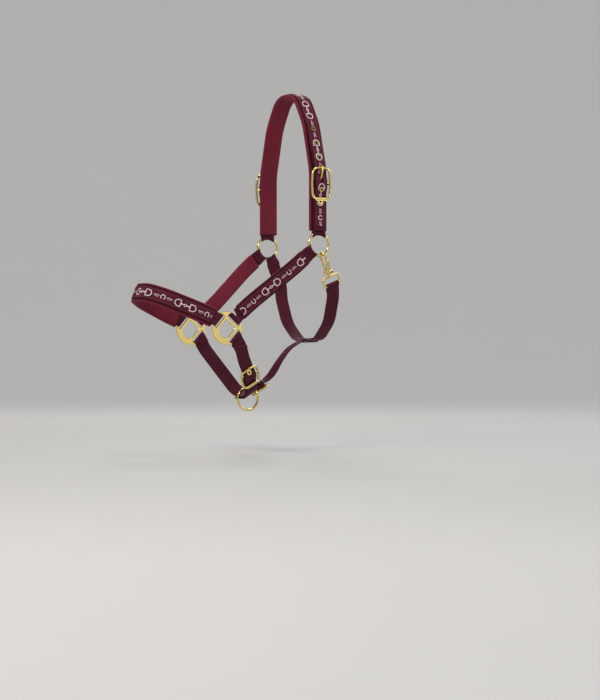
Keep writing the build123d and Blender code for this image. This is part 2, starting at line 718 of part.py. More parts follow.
def make_throat_strap():
    """From the right cheek ring, under the jaw, up to the eye of the snap."""
    corners, radii = mirrored_route([(RING_X, 8.0)] + THROAT_SIDE, THROAT_RADII)
    under = band(THROAT, corners, radii, -WEB_THICK / 2, WEB_THICK / 2, WEB_WIDTH, "under")
    eye_fold = fold(
        SNAP_LINE, (RING_X, EYE_BAR), 0.5, (RING_X, EYE_BAR + 14), SQUARE_FOLD, "eye_fold"
    )
    sag = ring_sag(THROAT_FOLD)
    hang = side_plane((0, 0, RING_Z), unit(-90 + THROAT_LEAN + 6))
    ring_fold = fold(
        hang, (-RING_X, RING_RADIUS - sag), sag, (-RING_X, RING_RADIUS + 14), THROAT_FOLD,
        "ring_fold", WIRE,
    )
    drop = band(
        SNAP_LINE, [(-RING_X, RING_RADIUS + 11), (-RING_X, EYE_BAR + 14)], [], -WEB_THICK / 2,
        WEB_THICK / 2, SQUARE_FOLD, "drop",
    )
    return joined("throat_strap", under, eye_fold, ring_fold, drop)


HOOK_HALF = 5.4            # snap: half the distance between its two arms
HOOK_TOP = RING_RADIUS - WIRE / 2 - FIT - BAR / 2
SNAP_BASE = 47.0           # ring centre to the near face of the base
SNAP_END = 56.0
EYE_TOP = 60.5
GATE_PIVOT = SNAP_BASE + 3.0
HOOK_ACROSS = ACROSS * cos(radians(SWIVEL_TURN)) + SNAP_ACROSS * sin(radians(SWIVEL_TURN))
SNAP = Plane(origin=RING, x_dir=HOOK_ACROSS, z_dir=HOOK_ACROSS.cross(DOWN_SNAP))
SNAP_AXIS_PLANE = Plane(origin=RING, x_dir=HOOK_ACROSS, z_dir=DOWN_SNAP)


def make_snap_body():
    """The hook, its fixed arm and the base that holds the gate pin and the swivel stem."""
    gate_top = HOOK_TOP + HOOK_HALF + 3.5
    with BuildPart() as body:
        with BuildLine(SNAP) as path:
            arc = ThreePointArc(
                (HOOK_HALF, HOOK_TOP + HOOK_HALF), (0, HOOK_TOP), (-HOOK_HALF, HOOK_TOP + HOOK_HALF)
            )
            Line(arc @ 0, (HOOK_HALF, gate_top))
            Line(arc @ 1, (-HOOK_HALF, SNAP_BASE + 2))
        start = path.wire()
        with BuildSketch(Plane(origin=start @ 0, z_dir=start % 0)):
            Circle(BAR / 2)
        sweep(path=start)
        with BuildSketch(SNAP):
            with Locations((0, (SNAP_BASE + SNAP_END) / 2)):
                RectangleRounded(2 * HOOK_HALF + 4.6, SNAP_END - SNAP_BASE, 3.0)
        extrude(amount=3.6, both=True)
        with BuildSketch(SNAP):
            with Locations((HOOK_HALF, GATE_PIVOT - 1)):
                Rectangle(6.4, 9.0)
        extrude(amount=1.9, both=True, mode=Mode.SUBTRACT)
        with BuildSketch(SNAP):
            with Locations((HOOK_HALF, GATE_PIVOT)):
                Circle(1.0)
        extrude(amount=10.0, both=True, mode=Mode.SUBTRACT)
        with BuildSketch(SNAP_AXIS_PLANE.offset(SNAP_END - 6.0)):
            Circle(2.0)
        extrude(amount=10.0, mode=Mode.SUBTRACT)
        with BuildSketch(SNAP_AXIS_PLANE.offset(SNAP_END - 6.0)):
            Circle(3.0)
        extrude(amount=2.4, mode=Mode.SUBTRACT)
    body.part.label = "snap_body"
    return body.part


def make_snap_gate():
    """The sprung arm that closes the hook."""
    gap_top = HOOK_TOP + HOOK_HALF + 4.0
    with BuildPart() as gate:
        with BuildSketch(SNAP):
            with Locations((HOOK_HALF, (gap_top + GATE_PIVOT) / 2)):
                Rectangle(3.4, GATE_PIVOT - gap_top)
            with Locations((HOOK_HALF, GATE_PIVOT)):
                Circle(2.5)
            with Locations((HOOK_HALF + 1.6, gap_top + 8.0)):
                RectangleRounded(2.6, 7.0, 1.2)
        extrude(amount=1.7, both=True)
        with BuildSketch(SNAP):
            with Locations((HOOK_HALF, GATE_PIVOT)):
                Circle(1.08)
        extrude(amount=5.0, both=True, mode=Mode.SUBTRACT)
    gate.part.label = "snap_gate"
    return gate.part


def make_gate_pin():
    with BuildPart() as pin:
        with BuildSketch(SNAP):
            with Locations((HOOK_HALF, GATE_PIVOT)):
                Circle(0.98)
        extrude(amount=3.6, both=True)
    pin.part.label = "gate_pin"
    return pin.part


def make_gate_spring():
    """A bent leaf that pushes the gate out against the hook."""
    root = (-HOOK_HALF + 3.6, SNAP_BASE - 0.05)
    leaf = [root, (0.5, SNAP_BASE - 6.0), (HOOK_HALF - 2.2, SNAP_BASE - 12.0)]
    return band(SNAP, leaf, [8.0], -0.25, 0.25, 3.0, "gate_spring")


def make_snap_eye():
    """The rectangular swivel eye, with the headed stem that turns in the snap's base."""
    middle = RING + DOWN_SNAP * ((EYE_TOP + EYE_BAR) / 2)
    plane = Plane(origin=middle, x_dir=SNAP_ACROSS, z_dir=ACROSS)
    frame = rounded_frame(plane, EYE_BAR - EYE_TOP + BAR, BUCKLE_INNER, 0)
    with BuildPart() as stem:
        with BuildSketch(SNAP_AXIS_PLANE.offset(SNAP_END - 5.6)):
            Circle(1.9)
        extrude(amount=EYE_TOP - SNAP_END + 5.6)
        with BuildSketch(SNAP_AXIS_PLANE.offset(SNAP_END - 5.6)):
            Circle(2.7)
        extrude(amount=1.6)
    return joined("snap_eye", frame, stem.part)


# ---- writing the parts ----------------------------------------------------------------------
os.makedirs("parts", exist_ok=True)

save(make_crown_pad(), "crown_pad")
crown_strap, crown_cover, eyelet_row = make_crown_strap()
save(crown_strap, "crown_strap")
save(crown_cover, "crown_cover")
save(eyelet_row, "right_crown_eyelets")
save(other_side(eyelet_row), "left_crown_eyelets")
save_pair(make_crown_billet(), "crown_billet")
save_pair(make_crown_buckle(), "crown_buckle")
save_pair(make_crown_tongue(), "crown_tongue")
save_pair(wire_ring(RING, "ring"), "cheek_ring")
save_pair(make_square(), "halter_square")
cheek_webbing, cheek_cover, cheek_lining = make_cheek()
save_pair(cheek_webbing, "cheek_webbing")
save_pair(cheek_cover, "cheek_cover")
save_pair(cheek_lining, "cheek_lining")
noseband_webbing, noseband_cover, noseband_pad = make_noseband()
save(noseband_webbing, "noseband_webbing")
save(noseband_cover, "noseband_cover")
save(noseband_pad, "noseband_pad")
save(make_chin_billet(), "chin_billet")
chin_strap, chin_row = make_chin_strap()
save(chin_strap, "chin_strap")
save(chin_row, "chin_eyelets")
save(make_chin_buckle(), "chin_buckle")
save(make_chin_tongue(), "chin_tongue")
save(wire_ring(LEAD_RING, "lead_ring"), "lead_ring")
save(make_jowl_loop(), "jowl_loop")
save(make_jowl_strap(), "jowl_strap")
save(make_throat_strap(), "throat_strap")
save(make_snap_body(), "snap_body")
save(make_snap_gate(), "snap_gate")
save(make_gate_pin(), "gate_pin")
save(make_gate_spring(), "gate_spring")
save(make_snap_eye(), "snap_eye")
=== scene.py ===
import json
from math import atan2, ceil, cos, exp, hypot, pi, radians, sin, sqrt, tan

import bmesh
import bpy
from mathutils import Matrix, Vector


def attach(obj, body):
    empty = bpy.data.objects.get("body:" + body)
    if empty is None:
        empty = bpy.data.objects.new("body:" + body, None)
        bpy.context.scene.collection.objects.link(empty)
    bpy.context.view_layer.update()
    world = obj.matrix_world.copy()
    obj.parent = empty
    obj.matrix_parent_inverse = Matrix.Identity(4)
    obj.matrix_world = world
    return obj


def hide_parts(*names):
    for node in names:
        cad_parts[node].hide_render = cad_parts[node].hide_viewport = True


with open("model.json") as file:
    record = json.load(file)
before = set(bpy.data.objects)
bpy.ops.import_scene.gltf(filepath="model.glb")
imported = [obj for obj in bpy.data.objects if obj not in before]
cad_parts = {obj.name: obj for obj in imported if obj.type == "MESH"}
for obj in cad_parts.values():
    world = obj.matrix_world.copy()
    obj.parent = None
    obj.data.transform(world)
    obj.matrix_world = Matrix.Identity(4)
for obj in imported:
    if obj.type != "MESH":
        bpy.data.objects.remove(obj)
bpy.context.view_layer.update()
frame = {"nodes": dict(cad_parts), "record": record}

MM = 0.001

# ---- sizes shared with the CAD model, millimetres ------------------------------------
WEB_WIDTH, WEB_THICK = 25.0, 2.0
COVER_WIDTH, COVER_THICK = 22.0, 1.2
PAD_WIDTH, PAD_THICK = 34.0, 6.0
LINING_WIDTH, LINING_THICK = 28.0, 3.0
RING_RADIUS, RING_X, RING_Z = 20.0, 92.0, -262.0
SQUARE_X, SQUARE_Y, SQUARE_Z = 68.0, -170.0, -410.0
SQUARE_TILT, SQUARE_OUTER = 48.5, 24.0
NOSE_TILT, NOSE_BRIDGE_Y, NOSE_BRIDGE_Z = 22.2, -303.5, -347.0
CHIN_TILT, THROAT_LEAN, THROAT_DROP = 60.2, 22.3, 2.6
CROWN_MID_X = 95.5
EYE_BAR = 75.0
STEP = 1.0                 # length of one strip of strap mesh


# ---- vectors and planes --------------------------------------------------------------
def side(degrees):
    """A side-view direction, at an angle above the horizontal that points to the tail."""
    return Vector((0, cos(radians(degrees)), sin(radians(degrees))))


class Face:
    """A plane with its own axes, as the CAD model's sketch planes."""

    def __init__(self, origin, x_dir, z_dir):
        self.origin = Vector(origin)
        self.x = Vector(x_dir).normalized()
        self.z = Vector(z_dir).normalized()
        self.y = self.z.cross(self.x)

    def at(self, x, y):
        return self.origin + self.x * x + self.y * y


ACROSS = Vector((1, 0, 0))


def side_plane(origin, direction):
    return Face(origin, ACROSS, ACROSS.cross(direction))


TO_CHIN = side(SQUARE_TILT - 90)
TO_CHEEK = side(SQUARE_TILT)
SQUARE_MID = Vector((0, SQUARE_Y, SQUARE_Z))
RING = Vector((RING_X, 0, RING_Z))
RING_MID = Vector((0, 0, RING_Z))
NOSE_BAR = SQUARE_MID - TO_CHIN * SQUARE_OUTER
CHIN_BAR = SQUARE_MID + TO_CHIN * SQUARE_OUTER
CHEEK_BAR = SQUARE_MID + TO_CHEEK * SQUARE_OUTER
CROWN = Face((0, 0, 0), ACROSS, (0, -1, 0))
NOSE = side_plane((0, NOSE_BRIDGE_Y, NOSE_BRIDGE_Z), side(-NOSE_TILT))
CHIN = side_plane(CHIN_BAR, side(-CHIN_TILT))
DOWN_SNAP = side(-90 + THROAT_LEAN)
THROAT = side_plane(RING_MID + DOWN_SNAP * EYE_BAR, side(-90 + THROAT_DROP))
CHEEK_RUN = RING_MID - CHEEK_BAR
CHEEK_LENGTH = CHEEK_RUN.length
CHEEK = Face(CHEEK_BAR, CHEEK_RUN, CHEEK_RUN.normalized().cross(ACROSS))


# ---- routes --------------------------------------------------------------------------
def shifted(corners, amount):
    """Corners of the line parallel to an open polyline, amount to its left."""
    lines = []
    for (ax, ay), (bx, by) in zip(corners, corners[1:]):
        length = hypot(bx - ax, by - ay)
        ux, uy = (bx - ax) / length, (by - ay) / length
        lines.append((ax - uy * amount, ay + ux * amount, ux, uy, length))
    result = [lines[0][:2]]
    for (px, py, ux, uy, _), (qx, qy, vx, vy, _) in zip(lines, lines[1:]):
        along = ((qx - px) * vy - (qy - py) * vx) / (ux * vy - uy * vx)
        result.append((px + ux * along, py + uy * along))
    px, py, ux, uy, length = lines[-1]
    result.append((px + ux * length, py + uy * length))
    return result


def rounded(corners, radii, step=STEP):
    """Evenly cut samples (x, y, direction) of a polyline with rounded corners."""
    samples = []
    here = corners[0]
    for n in range(1, len(corners)):
        ax, ay = corners[n - 1]
        bx, by = corners[n]
        heading = atan2(by - ay, bx - ax)
        if n < len(corners) - 1:
            cx, cy = corners[n + 1]
            turn = atan2(cy - by, cx - bx) - heading
            turn = (turn + pi) % (2 * pi) - pi
            cut = radii[n - 1] * tan(abs(turn) / 2)
        else:
            turn, cut = 0.0, 0.0
        end = (bx - cos(heading) * cut, by - sin(heading) * cut)
        run = hypot(end[0] - here[0], end[1] - here[1])
        count = max(1, ceil(run / step))
        for k in range(count):
            f = k / count
            samples.append((here[0] + (end[0] - here[0]) * f, here[1] + (end[1] - here[1]) * f, heading))
        here = end
        if cut:
            radius = radii[n - 1]
            way = 1 if turn > 0 else -1
            mid = (end[0] - way * sin(heading) * radius, end[1] + way * cos(heading) * radius)
            count = max(2, ceil(abs(turn) * radius / step))
            for k in range(count):
                angle = heading + turn * k / count
                x = mid[0] + way * sin(angle) * radius
                y = mid[1] - way * cos(angle) * radius
                samples.append((x, y, angle))
            angle = heading + turn
            here = (mid[0] + way * sin(angle) * radius, mid[1] - way * cos(angle) * radius)
    samples.append((here[0], here[1], heading))
    return samples


class Station:
    """One cross-section of a strap: its place, its width and face directions, its length.

    wide narrows it where the web gathers; bow bends its edges back round a ring.
    """

    def __init__(self, point, width, face, along=0.0, wide=1.0, bow=None):
        self.point, self.width, self.face, self.along = point, width, face, along
        self.wide, self.bow = wide, bow

    def copy(self, move=0.0):
        point = self.point + self.face * move
        return Station(point, self.width, self.face, self.along, self.wide, self.bow)


def measured(stations):
    """Fills in how far along the strap each station is."""
    for before, after in zip(stations, stations[1:]):
        after.along = before.along + (after.point - before.point).length
    return stations


def planar(plane, corners, radii, step=STEP):
    """Stations on a planar route; their faces point to the left of the route."""
    stations = []
    for x, y, angle in rounded(corners, radii, step):
        face = plane.x * -sin(angle) + plane.y * cos(angle)
        stations.append(Station(plane.at(x, y), plane.z.copy(), face, 0.0))
    return measured(stations)


def lifted(stations, amount):
    """The same stations moved along their faces; amount may be a function of the length."""
    result = []
    for s in stations:
        result.append(s.copy(amount(s.along) if callable(amount) else amount))
    return result


def between(stations, start, end):
    return [s for s in stations if start <= s.along <= end]


def mirrored(stations):
    """The same strap on the right side of the head."""
    flip = Vector((-1, 1, 1))
    result = []
    for s in stations:
        bow = s.bow * flip if s.bow else None
        result.append(Station(s.point * flip, s.width * flip, s.face * flip, s.along, s.wide, bow))
    return result


def on(stations, along, across, lift):
    """A point on a strap's face, and the directions there."""
    n = min(range(len(stations)), key=lambda k: abs(stations[k].along - along))
    n = min(max(n, 1), len(stations) - 1)
    a, b = stations[n - 1], stations[n]
    span = max(b.along - a.along, 1e-6)
    f = (along - a.along) / span
    point = a.point.lerp(b.point, f)
    face = a.face.lerp(b.face, f).normalized()
    width = a.width.lerp(b.width, f).normalized()
    return point + width * across + face * lift, (b.point - a.point).normalized(), width, face


def mirrored_route(half, radii):
    right = [(-x, y) for x, y in half]
    return right + half[::-1], radii + radii[::-1]


# ---- meshes --------------------------------------------------------------------------
def make_mesh(name, points, faces, strap=None, sharp=42.0):
    """A smooth-shaded object; points in millimetres, strap = its (along, across, lift)."""
    mesh = bpy.data.meshes.new(name)
    mesh.from_pydata([tuple(p * MM) for p in points], [], faces)
    if strap:
        data = mesh.attributes.new("strap", "FLOAT_VECTOR", "POINT")
        data.data.foreach_set("vector", [c * MM for row in strap for c in row])
    shell = bmesh.new()
    shell.from_mesh(mesh)
    bmesh.ops.recalc_face_normals(shell, faces=shell.faces)
    shell.to_mesh(mesh)
    shell.free()
    mesh.shade_smooth()
    mesh.set_sharp_from_angle(angle=radians(sharp))
    piece = bpy.data.objects.new(name, mesh)
    bpy.context.scene.collection.objects.link(piece)
    return piece


def ring_sag(across, radius=RING_RADIUS):
    """How far a ring's wire drops back at a distance across a strap that hangs on it."""
    return radius - sqrt(max(radius * radius - across * across, 1.0))


def sweep(name, stations, profile, taper=None, closed=False, hole=None, relief=None):
    """A strap mesh: a closed profile of (across, lift) carried along the stations.

    hole(middle, along, across, lift) says which cells of the faces are left open, and
    relief(along, across) raises the surface.
    """
    points, strap, faces = [], [], []
    count = len(profile)
    total = stations[-1].along
    for s in stations:
        wide, thick = taper(s.along, total) if taper else (1.0, 1.0)
        wide *= s.wide
        for across, lift in profile:
            raised_by = relief(s.along, across) if relief else 0.0
            p = s.point + s.width * (across * wide) + s.face * (lift * thick + raised_by)
            if s.bow:
                p = p + s.bow * ring_sag(across * wide)
            points.append(p)
            strap.append((s.along, across, lift))
    rows = len(stations)
    for r in range(rows if closed else rows - 1):
        a, b = r * count, ((r + 1) % rows) * count
        for c in range(count):
            d = (c + 1) % count
            cell = (a + c, b + c, b + d, a + d)
            if hole:
                middle = sum((points[v] for v in cell), Vector()) / 4
                across = (profile[c][0] + profile[d][0]) / 2
                if hole(middle, stations[r].along, across, profile[c][1]):
                    continue
            faces.append(cell)
    if not closed:
        faces.append(tuple(range(count)))
        faces.append(tuple((rows - 1) * count + c for c in reversed(range(count))))
    return make_mesh(name, points, faces, strap)


def web_profile(width, thick, cells=24):
    """Flat woven web with soft rounded selvedges, about its own middle."""
    half, r = width / 2, thick / 2
    top = [(-half + r + (width - thick) * k / cells, r) for k in range(cells + 1)]
    right = [(half - r + r * sin(a), r * cos(a)) for a in (pi / 4, pi / 2, 3 * pi / 4)]
    under = [(-x, -y) for x, y in top]
    left = [(-x, -y) for x, y in right]
    return top + right + under + left


def cover_profile(width, thick, low):
    """The printed band: its face a little crowned, with turned edges that sink at the seam."""
    half = width / 2
    top = low + thick
    seam = half - 1.9
    face = [
        (-half, low + 0.1), (-half, top - 0.45), (-half + 0.35, top - 0.12), (-half + 0.9, top),
        (-seam - 0.4, top - 0.02), (-seam, top - 0.22), (-seam + 0.4, top - 0.02),
    ]
    cells = 18
    inner = [
        (-seam + 0.4 + (2 * seam - 0.8) * k / cells, top - 0.02 + 0.14 * sin(pi * k / cells))
        for k in range(1, cells)
    ]
    return face + inner + [(-x, y) for x, y in reversed(face)]


def pad_profile(width, thick, web, high):
    """A padded lining seen end-on: two stuffed rolls either side of the web sewn in it.

    high is the roll's crest above the web's underside, which is at zero.
    """
    half, well = width / 2, web / 2 + 0.25
    roll = half - well
    crest = well + roll * 0.5
    side_mid = -thick * 0.42
    right = [
        (well - 0.2, -0.12), (well + 0.25, high * 0.45), (well + roll * 0.22, high * 0.86),
        (crest, high), (half - roll * 0.2, high * 0.72), (half - 0.25, high * 0.05),
        (half, side_mid * 0.55), (half - 0.05, side_mid), (half - 0.9, -thick * 0.74),
        (half - 2.6, -thick * 0.93), (half - 5.0, -thick),
    ]
    middle = [(0.0, -thick * 0.985)]
    left = [(-x, y) for x, y in reversed(right)]
    return right + middle + left


def soft_ends(length):
    """A taper that closes a pad's ends over a short rounded length."""
    def taper(along, total):
        gap = min(along, total - along)
        if gap >= length:
            return 1.0, 1.0
        f = sqrt(max(1.0 - (1.0 - gap / length) ** 2, 0.0))
        return 0.93 + 0.07 * f, 0.35 + 0.65 * f
    return taper


def smooth(f):
    f = min(max(f, 0.0), 1.0)
    return f * f * (3 - 2 * f)


def looped_end(bar, bar_dir, inward, away, width, out, radius, reach, tail, top=0.0, under=None,
               bow=False, wide=1.0, flip=False):
    """Stations of a strap's end folded round a bar, from its hidden tail to its face.

    inward points from the bar to the hole that the strap goes through, away along the
    strap, out from its outer face. radius is the web's centreline round the bar; top and
    under are the levels where its two layers end up. flip turns the faces inwards.
    """
    stations = []
    under = -WEB_THICK - 0.05 if under is None else under

    def add(point, turn, face, f):
        across = bar_dir.lerp(width, smooth(turn)).normalized()
        bend = inward * (1 - smooth(f)) if bow else None
        narrow = wide + (1 - wide) * smooth(f)
        stations.append(Station(point, across, -face if flip else face, 0.0, narrow, bend))

    steps = max(3, ceil(tail / STEP))
    for k in range(steps):
        t = tail * (1 - k / steps)
        f = t / (reach * 0.8)
        lift = -radius + (under + radius) * smooth(f)
        add(bar + away * t + out * lift, t / reach, -out, f)
    for k in range(13):
        angle = pi - pi * k / 12
        radial = out * cos(angle) + inward * sin(angle)
        add(bar + radial * radius, 0.0, radial, 0.0)
    steps = ceil(reach / STEP)
    for k in range(1, steps + 1):
        f = k / steps
        ridge = 0.75 * exp(-((reach * f - 9.6) / 1.3) ** 2)
        lift = radius + (top - radius) * smooth(reach * f / 7.5) + ridge
        add(bar + away * (reach * f) + out * lift, f, out, f)
    return stations


def wavy(seed, size):
    """A gentle, repeatable waver of a soft strap's surface along its length."""
    def lift(along):
        return size * (
            sin(along / 9.1 + seed) + 0.6 * sin(along / 4.3 + seed * 2.3) + 0.4 * sin(along / 17.0 + seed)
        )
    return lift


def stitches(name, stations, rows, lift, pitch=3.3, length=2.5, thick=0.5, margin=3.0):
    """Rows of thread stitches half sunk into a strap's face."""
    points, faces = [], []
    total = stations[-1].along
    segments, edges = 4, 6
    for across in rows:
        along = margin
        while along + length < total - margin:
            first = len(points)
            for k in range(segments + 1):
                f = k / segments
                p, _, wide, face = on(stations, along + length * f, across, lift)
                arch = sin(pi * f)
                size = thick / 2 * (0.55 + 0.45 * arch)
                mid = p + face * (0.16 * arch - 0.05)
                for j in range(edges):
                    a = 2 * pi * j / edges
                    points.append(mid + wide * (cos(a) * size) + face * (sin(a) * size))
            for k in range(segments):
                for j in range(edges):
                    i = (j + 1) % edges
                    a, b = first + k * edges, first + (k + 1) * edges
                    faces.append((a + j, b + j, b + i, a + i))
            faces.append(tuple(first + j for j in range(edges)))
            faces.append(tuple(first + segments * edges + j for j in reversed(range(edges))))
            along += pitch
    return make_mesh(name, points, faces, sharp=70.0)


# ---- the woven ornament: a snaffle bit, and a horseshoe between dashes -----------------
def arc(cx, cy, rx, ry, start, end, count=14):
    span = end - start
    return [
        (cx + rx * cos(radians(start + span * k / count)), cy + ry * sin(radians(start + span * k / count)))
        for k in range(count + 1)
    ]


def bit_lines():
    """The strokes of a D-ring snaffle, 40 mm long: (points, stroke width)."""
    lines = []
    for way in (-1, 1):
        flat = 8.8 * way
        ring = [(flat, -5.6), (flat + 4.6 * way, -5.6)]
        for a in range(-75, 76, 15):
            ring.append((flat + (4.6 + 6.0 * cos(radians(a))) * way, 5.6 * sin(radians(a))))
        ring += [(flat + 4.6 * way, 5.6), (flat, 5.6), (flat, -5.6)]
        lines.append((ring, 1.5))
        lines.append(([(flat, 0.0), (5.6 * way, 0.5), (3.2 * way, -0.1), (2.4 * way, 0.0)], 1.5))
        lines.append(([(flat - 1.7 * way, -1.7), (flat - 1.7 * way, 1.7)], 1.2))
    lines.append((arc(0, 0, 2.1, 2.1, 0, 360, 16), 1.1))
    return lines


def shoe_lines():
    """A small horseshoe between dashes, about 34 mm long."""
    lines = [(arc(0, -0.4, 3.6, 4.2, -50, 230, 18), 1.4)]
    for way in (-1, 1):
        lines.append(([(6.6 * way, 0.4), (10.2 * way, 1.1), (13.8 * way, 0.4), (16.6 * way, 0.8)], 1.0))
        lines.append(([(7.4 * way, -1.9), (15.2 * way, -1.9)], 0.55))
    return lines


def kept_runs(stroke, keep):
    """The stretches of a stroke whose points are all to be drawn, two points or more each."""
    runs = [[]]
    for point in stroke:
        if keep(*point):
            runs[-1].append(point)
        elif runs[-1]:
            runs.append([])
    return [run for run in runs if len(run) > 1]


def refined(line, centre, step=1.4):
    """A stroke's points, no further apart than step, moved to centre along the strap."""
    points = []
    for (ax, ay), (bx, by) in zip(line, line[1:]):
        cuts = max(1, ceil(hypot(bx - ax, by - ay) / step))
        points += [(centre + ax + (bx - ax) * k / cuts, ay + (by - ay) * k / cuts) for k in range(cuts)]
    points.append((centre + line[-1][0], line[-1][1]))
    return points


def ornament(name, stations, centres, lift, side=1, gaps=()):
    """Raised strokes that follow a band's crowned face; centres lists (along, strokes).

    gaps lists (along, half length) of places, such as eyelets, that are left bare.
    """
    points, faces = [], []
    total = stations[-1].along

    def keep(along, across):
        bare = any(hypot(along - place, across) < reach for place, reach in gaps)
        return 1.2 < along < total - 1.2 and not bare

    def draw(run, wide):
        first, size = len(points), len(run)
        loop = hypot(run[0][0] - run[-1][0], run[0][1] - run[-1][1]) < 0.01
        for n, (x, y) in enumerate(run):
            before = run[n - 1] if n else (run[-2] if loop else run[0])
            after = run[n + 1] if n < size - 1 else (run[1] if loop else run[-1])
            heading = atan2(after[1] - before[1], after[0] - before[0])
            dx, dy = -sin(heading) * wide / 2, cos(heading) * wide / 2
            for edge, high in ((1, -0.1), (0.8, 0.22), (-0.8, 0.22), (-1, -0.1)):
                across = y + dy * edge
                crown = 0.14 * max(cos(pi * across / 18.2), 0.0)
                points.append(on(stations, x + dx * edge, across, side * (lift + crown + high))[0])
        for n in range(size - 1):
            a, b = first + n * 4, first + (n + 1) * 4
            for k in range(3):
                faces.append((a + k, b + k, b + k + 1, a + k + 1))
            faces.append((a + 3, b + 3, b, a))
        faces.append((first, first + 1, first + 2, first + 3))
        last = first + (size - 1) * 4
        faces.append((last + 3, last + 2, last + 1, last))

    for centre, strokes in centres:
        for line, wide in strokes:
            for run in kept_runs(refined(line, centre), keep):
                draw(run, wide)
    return make_mesh(name, points, faces, sharp=60.0)


# ---- materials -------------------------------------------------------------------------
def new_material(name):
    material = bpy.data.materials.new(name)
    material.use_nodes = True
    return material, material.node_tree, material.node_tree.nodes["Principled BSDF"]


def maths(net, kind, a, b=None, c=None):
    node = net.nodes.new("ShaderNodeMath")
    node.operation = kind
    for socket, value in zip(node.inputs, (a, b, c)):
        if value is None:
            continue
        if isinstance(value, (int, float)):
            socket.default_value = value
        else:
            net.links.new(value, socket)
    return node.outputs[0]


def mixed(net, factor, low, high):
    node = net.nodes.new("ShaderNodeMix")
    node.data_type = "RGBA"
    net.links.new(factor, node.inputs["Factor"])
    for socket, colour in ((node.inputs["A"], low), (node.inputs["B"], high)):
        if isinstance(colour, tuple):
            socket.default_value = (*colour, 1.0)
        else:
            net.links.new(colour, socket)
    return node.outputs["Result"]


def noise(net, scale, detail=3.0, source=None, rough=0.55):
    node = net.nodes.new("ShaderNodeTexNoise")
    node.inputs["Scale"].default_value = scale
    node.inputs["Detail"].default_value = detail
    node.inputs["Roughness"].default_value = rough
    if source is None:
        source = net.nodes.new("ShaderNodeTexCoord").outputs["Object"]
    net.links.new(source, node.inputs["Vector"])
    return node.outputs["Fac"]


def strap_axes(net):
    """The strap's own coordinates, in metres: along it, across it, and above its core."""
    source = net.nodes.new("ShaderNodeAttribute")
    source.attribute_name = "strap"
    split = net.nodes.new("ShaderNodeSeparateXYZ")
    net.links.new(source.outputs["Vector"], split.inputs[0])
    return source.outputs["Vector"], split.outputs[0], split.outputs[1], split.outputs[2]


def wave(net, axis, pitch):
    """0 to 1 and back once per pitch metres along an axis socket."""
    turned = maths(net, "MULTIPLY", axis, 2 * pi / pitch)
    return maths(net, "MULTIPLY_ADD", maths(net, "SINE", turned), 0.5, 0.5)


def bumped(net, shader, height, distance, strength=1.0):
    bump = net.nodes.new("ShaderNodeBump")
    bump.inputs["Distance"].default_value = distance
    bump.inputs["Strength"].default_value = strength
    net.links.new(height, bump.inputs["Height"])
    net.links.new(bump.outputs[0], shader.inputs["Normal"])


def painted_shade(net, colour, axis, start, end, depth):
    """Painted shade: a colour darkened as a distance from the middle line goes from start to end."""
    node = net.nodes.new("ShaderNodeMapRange")
    node.interpolation_type = "SMOOTHSTEP"
    node.inputs["From Min"].default_value = start * MM
    node.inputs["From Max"].default_value = end * MM
    node.inputs["To Min"].default_value = 1.0
    node.inputs["To Max"].default_value = depth
    net.links.new(maths(net, "ABSOLUTE", axis), node.inputs["Value"])
    scaled = net.nodes.new("ShaderNodeVectorMath")
    scaled.operation = "SCALE"
    net.links.new(colour, scaled.inputs[0])
    net.links.new(node.outputs[0], scaled.inputs["Scale"])
    return scaled.outputs[0]


def webbing_material(name, dark, light, rib, sheen, seam=(11.6, 12.6, 0.7)):
    """Woven webbing: weft ribs across it, fine warp ends along it, its edges a little darker with painted
    shade; seam gives where that painted shade starts, where it is full, and how dark it gets.
    """
    material, net, shader = new_material(name)
    vector, along, across, _ = strap_axes(net)
    wander = noise(net, 900.0, 2.0, vector)
    along2 = maths(net, "MULTIPLY_ADD", wander, 0.00025, along)
    ribs = wave(net, along2, rib)
    ends = wave(net, across, 0.00085)
    every_other = maths(net, "GREATER_THAN", ends, 0.5)
    offset = maths(net, "MULTIPLY_ADD", every_other, rib / 2, along2)
    tucked = wave(net, offset, rib)
    weave = maths(net, "MULTIPLY_ADD", tucked, 0.55, maths(net, "MULTIPLY", ribs, 0.45))
    fuzz = noise(net, 2600.0, 2.0, vector)
    cloud = noise(net, 38.0, 4.0)
    shade = maths(net, "MULTIPLY_ADD", cloud, 0.5, maths(net, "MULTIPLY", weave, 0.42))
    shade = maths(net, "MULTIPLY_ADD", fuzz, 0.16, shade)
    # painted shade: the colour darkens towards the edges of the strap, over the seam range
    colour = painted_shade(net, mixed(net, shade, dark, light), across, *seam)
    net.links.new(colour, shader.inputs["Base Color"])
    rough = maths(net, "MULTIPLY_ADD", weave, -0.16, 0.68)
    net.links.new(rough, shader.inputs["Roughness"])
    height = maths(net, "MULTIPLY_ADD", fuzz, 0.25, weave)
    bumped(net, shader, height, 0.00032)
    shader.inputs["Specular IOR Level"].default_value = 0.16
    shader.inputs["Sheen Weight"].default_value = sheen
    shader.inputs["Sheen Roughness"].default_value = 0.35
    shader.inputs["Sheen Tint"].default_value = (0.85, 0.45, 0.55, 1.0)
    return material


